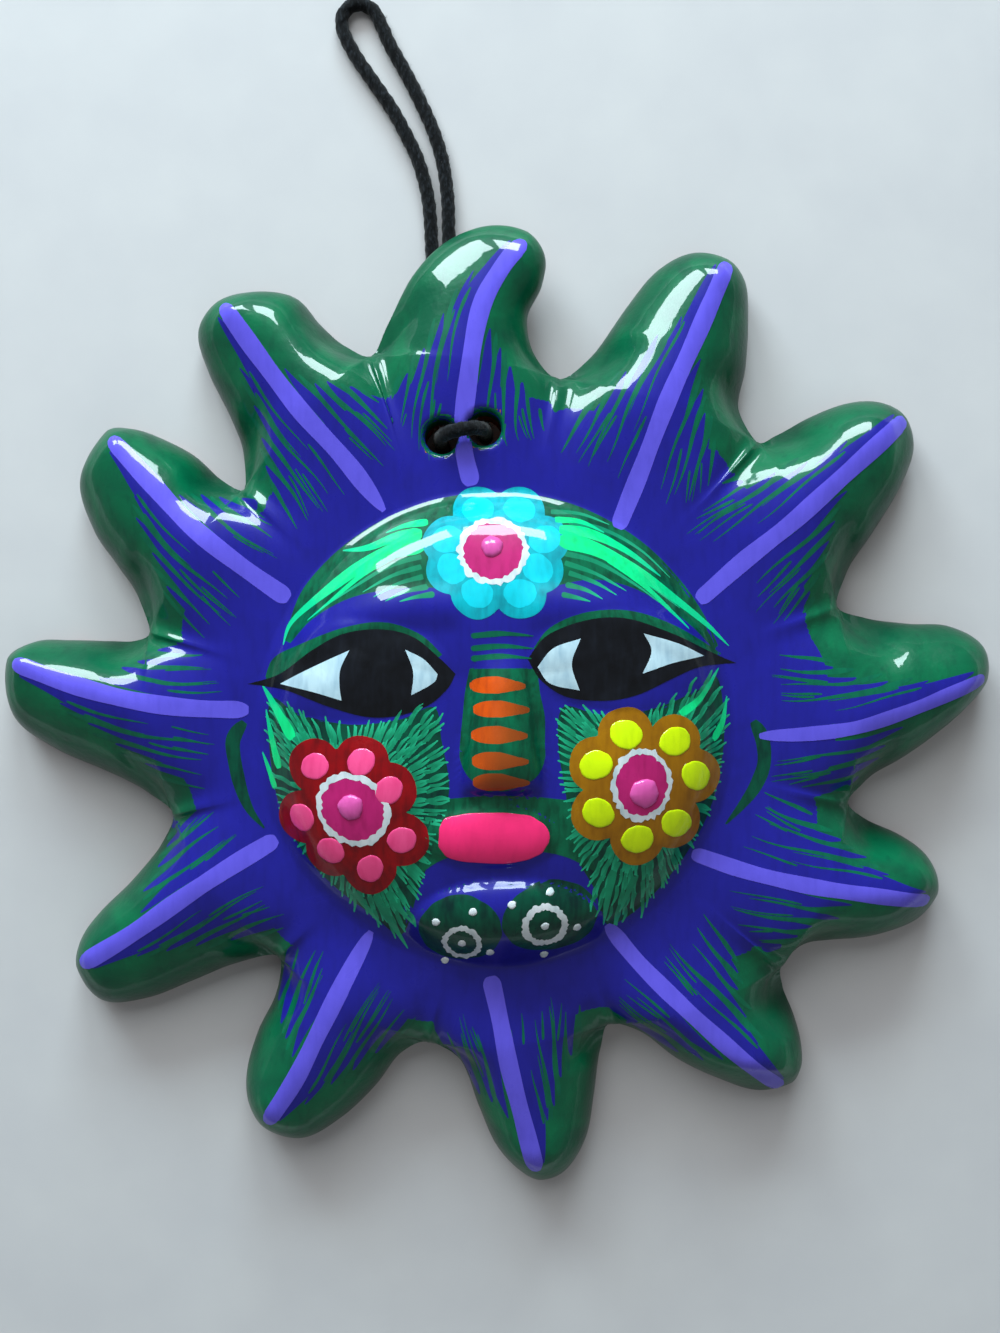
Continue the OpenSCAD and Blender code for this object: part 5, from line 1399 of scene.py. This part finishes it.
def twisted_cord(mesh, line):
    """A round cord with the shallow grooves of its twisted strands."""
    _, one, two = frames_along(line)
    run = run_of(line)
    turns = np.linspace(0, 2 * np.pi, 24, endpoint=False)
    phase = turns[None] * STRANDS - 2 * np.pi * STRANDS * run[:, None] / TWIST_MM
    groove = 0.83 + 0.17 * np.abs(np.cos(phase / 2))
    ends = np.sqrt(np.clip(np.minimum(run, run[-1] - run) / (CORD_D * 0.3) + 0.02, 0, 1))
    r = CORD_D / 2 * groove * ends[:, None]
    rows = line[:, None] + r[..., None] * (np.cos(turns)[None, :, None] * one[:, None]
                                           + np.sin(turns)[None, :, None] * two[:, None])
    index = mesh.add_points(rows + ORIGIN, 0.0)
    mesh.add_quads(index, wrap=True)
    mesh.faces.append(index[0].tolist())
    mesh.faces.append(index[-1, ::-1].tolist())


def fuzz(mesh, line, count):
    """Loose fibres that stand a little off the cord."""
    _, one, two = frames_along(line)
    for _ in range(count):
        k = rng.integers(1, len(line) - 2)
        a = rng.uniform(0, 2 * np.pi)
        out = math.cos(a) * one[k] + math.sin(a) * two[k]
        along = (line[k + 1] - line[k - 1]) * rng.uniform(-1, 1)
        root = line[k] + out * CORD_D * 0.42
        tip = root + out * rng.uniform(*FIBRE_MM) + along * 0.9
        middle = (root + tip) / 2 + along * 0.4
        tip[2] = max(tip[2], FIBRE_LEAST_H)
        middle[2] = max(middle[2], FIBRE_LEAST_H)
        thin = np.cross(tip - root, (0.2, 0.9, 0.4))
        thin *= FIBRE_HALF / (np.linalg.norm(thin) + 1e-9)
        mesh.grid(np.array([[at - thin, at + thin] for at in (root, middle, tip)]) + ORIGIN)


black_cord = cord_finish()
fibre_finish = cord_finish()
loop_line = cord_line(LOOP)
stitch_line = cord_line(STITCH)


def cord_piece(name, node, line, fibres):
    mesh = Mesh()
    twisted_cord(mesh, line)
    obj = paint_piece(mesh, name, black_cord, node)
    hairs = Mesh()
    fuzz(hairs, line, fibres)
    return obj, paint_piece(hairs, name + "_fibres", fibre_finish)


def knot_piece():
    """Both ends of the cord wrapped round each other, with two short tails."""
    mesh = Mesh()
    a = np.linspace(0, 2 * np.pi * WRAPS, 150)
    y = KNOT_AT[1] - CORD_D / 2 - 0.1 - (KNOT_L - CORD_D) * a / a[-1]
    coil = np.stack([KNOT_AT[0] + WRAP_R * np.cos(a), y, KNOT_AT[2] + WRAP_R * np.sin(a)], -1)
    twisted_cord(mesh, even_path(coil, 0.6))
    for way in (-1, 1):
        x = KNOT_AT[0] + way * TAIL_GAP
        low = KNOT_AT[2] - 0.4
        tail = [[KNOT_AT[0] + way * 1.5, 26.6, KNOT_AT[2]]]
        tail += [[x + way * aside, y, low - drop] for aside, y, drop in TAIL]
        twisted_cord(mesh, even_path(smooth_curve(tail, 8), 0.6))
    return paint_piece(mesh, "knot_wraps", black_cord, "cord_knot")


loop_obj, loop_fluff = cord_piece("hanging_cord", "hanging_loop", loop_line, 900)
stitch_obj, stitch_fluff = cord_piece("stitch_cord", "front_stitch", stitch_line, 700)
knot_obj = knot_piece()
run_of(loop_line)[-1] * MM


# The table's half width and its gap under the sun, in metres
TABLE_HALF = 1.6
TABLE_GAP = 0.0002
ROOM_LIGHT = 0.14
ROOM_TINT = (0.9, 0.94, 1.0, 1)
# Each lamp's place and size in metres, its watts and tint, and whether it shows in the varnish
LAMPS = (("daylight", (-0.16, 0.5, 0.6), (0.7, 0.56), 3.9, (0.97, 0.99, 1.0), False),
         ("fill", (0.2, -0.25, 0.6), (0.7, 0.7), 0.6, (1.0, 0.97, 0.93), False),
         ("left_pane", (-0.38, 0.75, 0.36), (0.35, 0.32), 5.8, (0.76, 0.93, 1.0), True),
         ("right_pane", (0.05, 0.83, 0.36), (0.35, 0.32), 5.8, (0.76, 0.93, 1.0), True))


def studio():
    """A pale table, soft daylight from above the sun's top, and the camera over it."""
    scene = bpy.context.scene
    view = bpy.data.cameras.new("camera")
    view.sensor_width = SENSOR
    view.lens = FOCAL_PX / PHOTO_SIZE[1] * SENSOR
    view.dof.use_dof = False
    camera = bpy.data.objects.new("camera", view)
    camera.location = CAMERA_AT * MM
    scene.collection.objects.link(camera)
    scene.camera = camera

    mesh = bpy.data.meshes.new("table")
    corners = [(-TABLE_HALF, -TABLE_HALF, 0), (TABLE_HALF, -TABLE_HALF, 0), (TABLE_HALF, TABLE_HALF, 0),
               (-TABLE_HALF, TABLE_HALF, 0)]
    mesh.from_pydata(corners, [], [(0, 1, 2, 3)])
    floor = bpy.data.objects.new("table", mesh)
    floor.location.z = -TABLE_GAP
    scene.collection.objects.link(floor)
    finish = Finish("table_finish")
    grain = finish.noise(60, 4)
    pale = finish.blend(finish.ramp(grain, 0.3, 0.7), linear(200, 201, 202), linear(195, 196, 198))
    finish.set(Base_Color=pale, Roughness=0.9, Specular_IOR_Level=0.1)
    mesh.materials.append(finish.material)

    for name, at, size, power, tint, shines in LAMPS:
        light = bpy.data.lights.new(name, "AREA")
        light.shape = "RECTANGLE"
        light.size, light.size_y = size
        light.energy = power
        light.color = tint
        lamp = bpy.data.objects.new(name, light)
        lamp.location = at
        lamp.rotation_euler = (-Vector(at)).to_track_quat("-Z", "Y").to_euler()
        lamp.visible_glossy = shines
        scene.collection.objects.link(lamp)

    world = bpy.data.worlds.new("room")
    scene.world = world
    world.use_nodes = True
    sky = world.node_tree.nodes["Background"]
    sky.inputs["Strength"].default_value = ROOM_LIGHT
    sky.inputs["Color"].default_value = ROOM_TINT
    scene.view_settings.view_transform = "Standard"


studio()
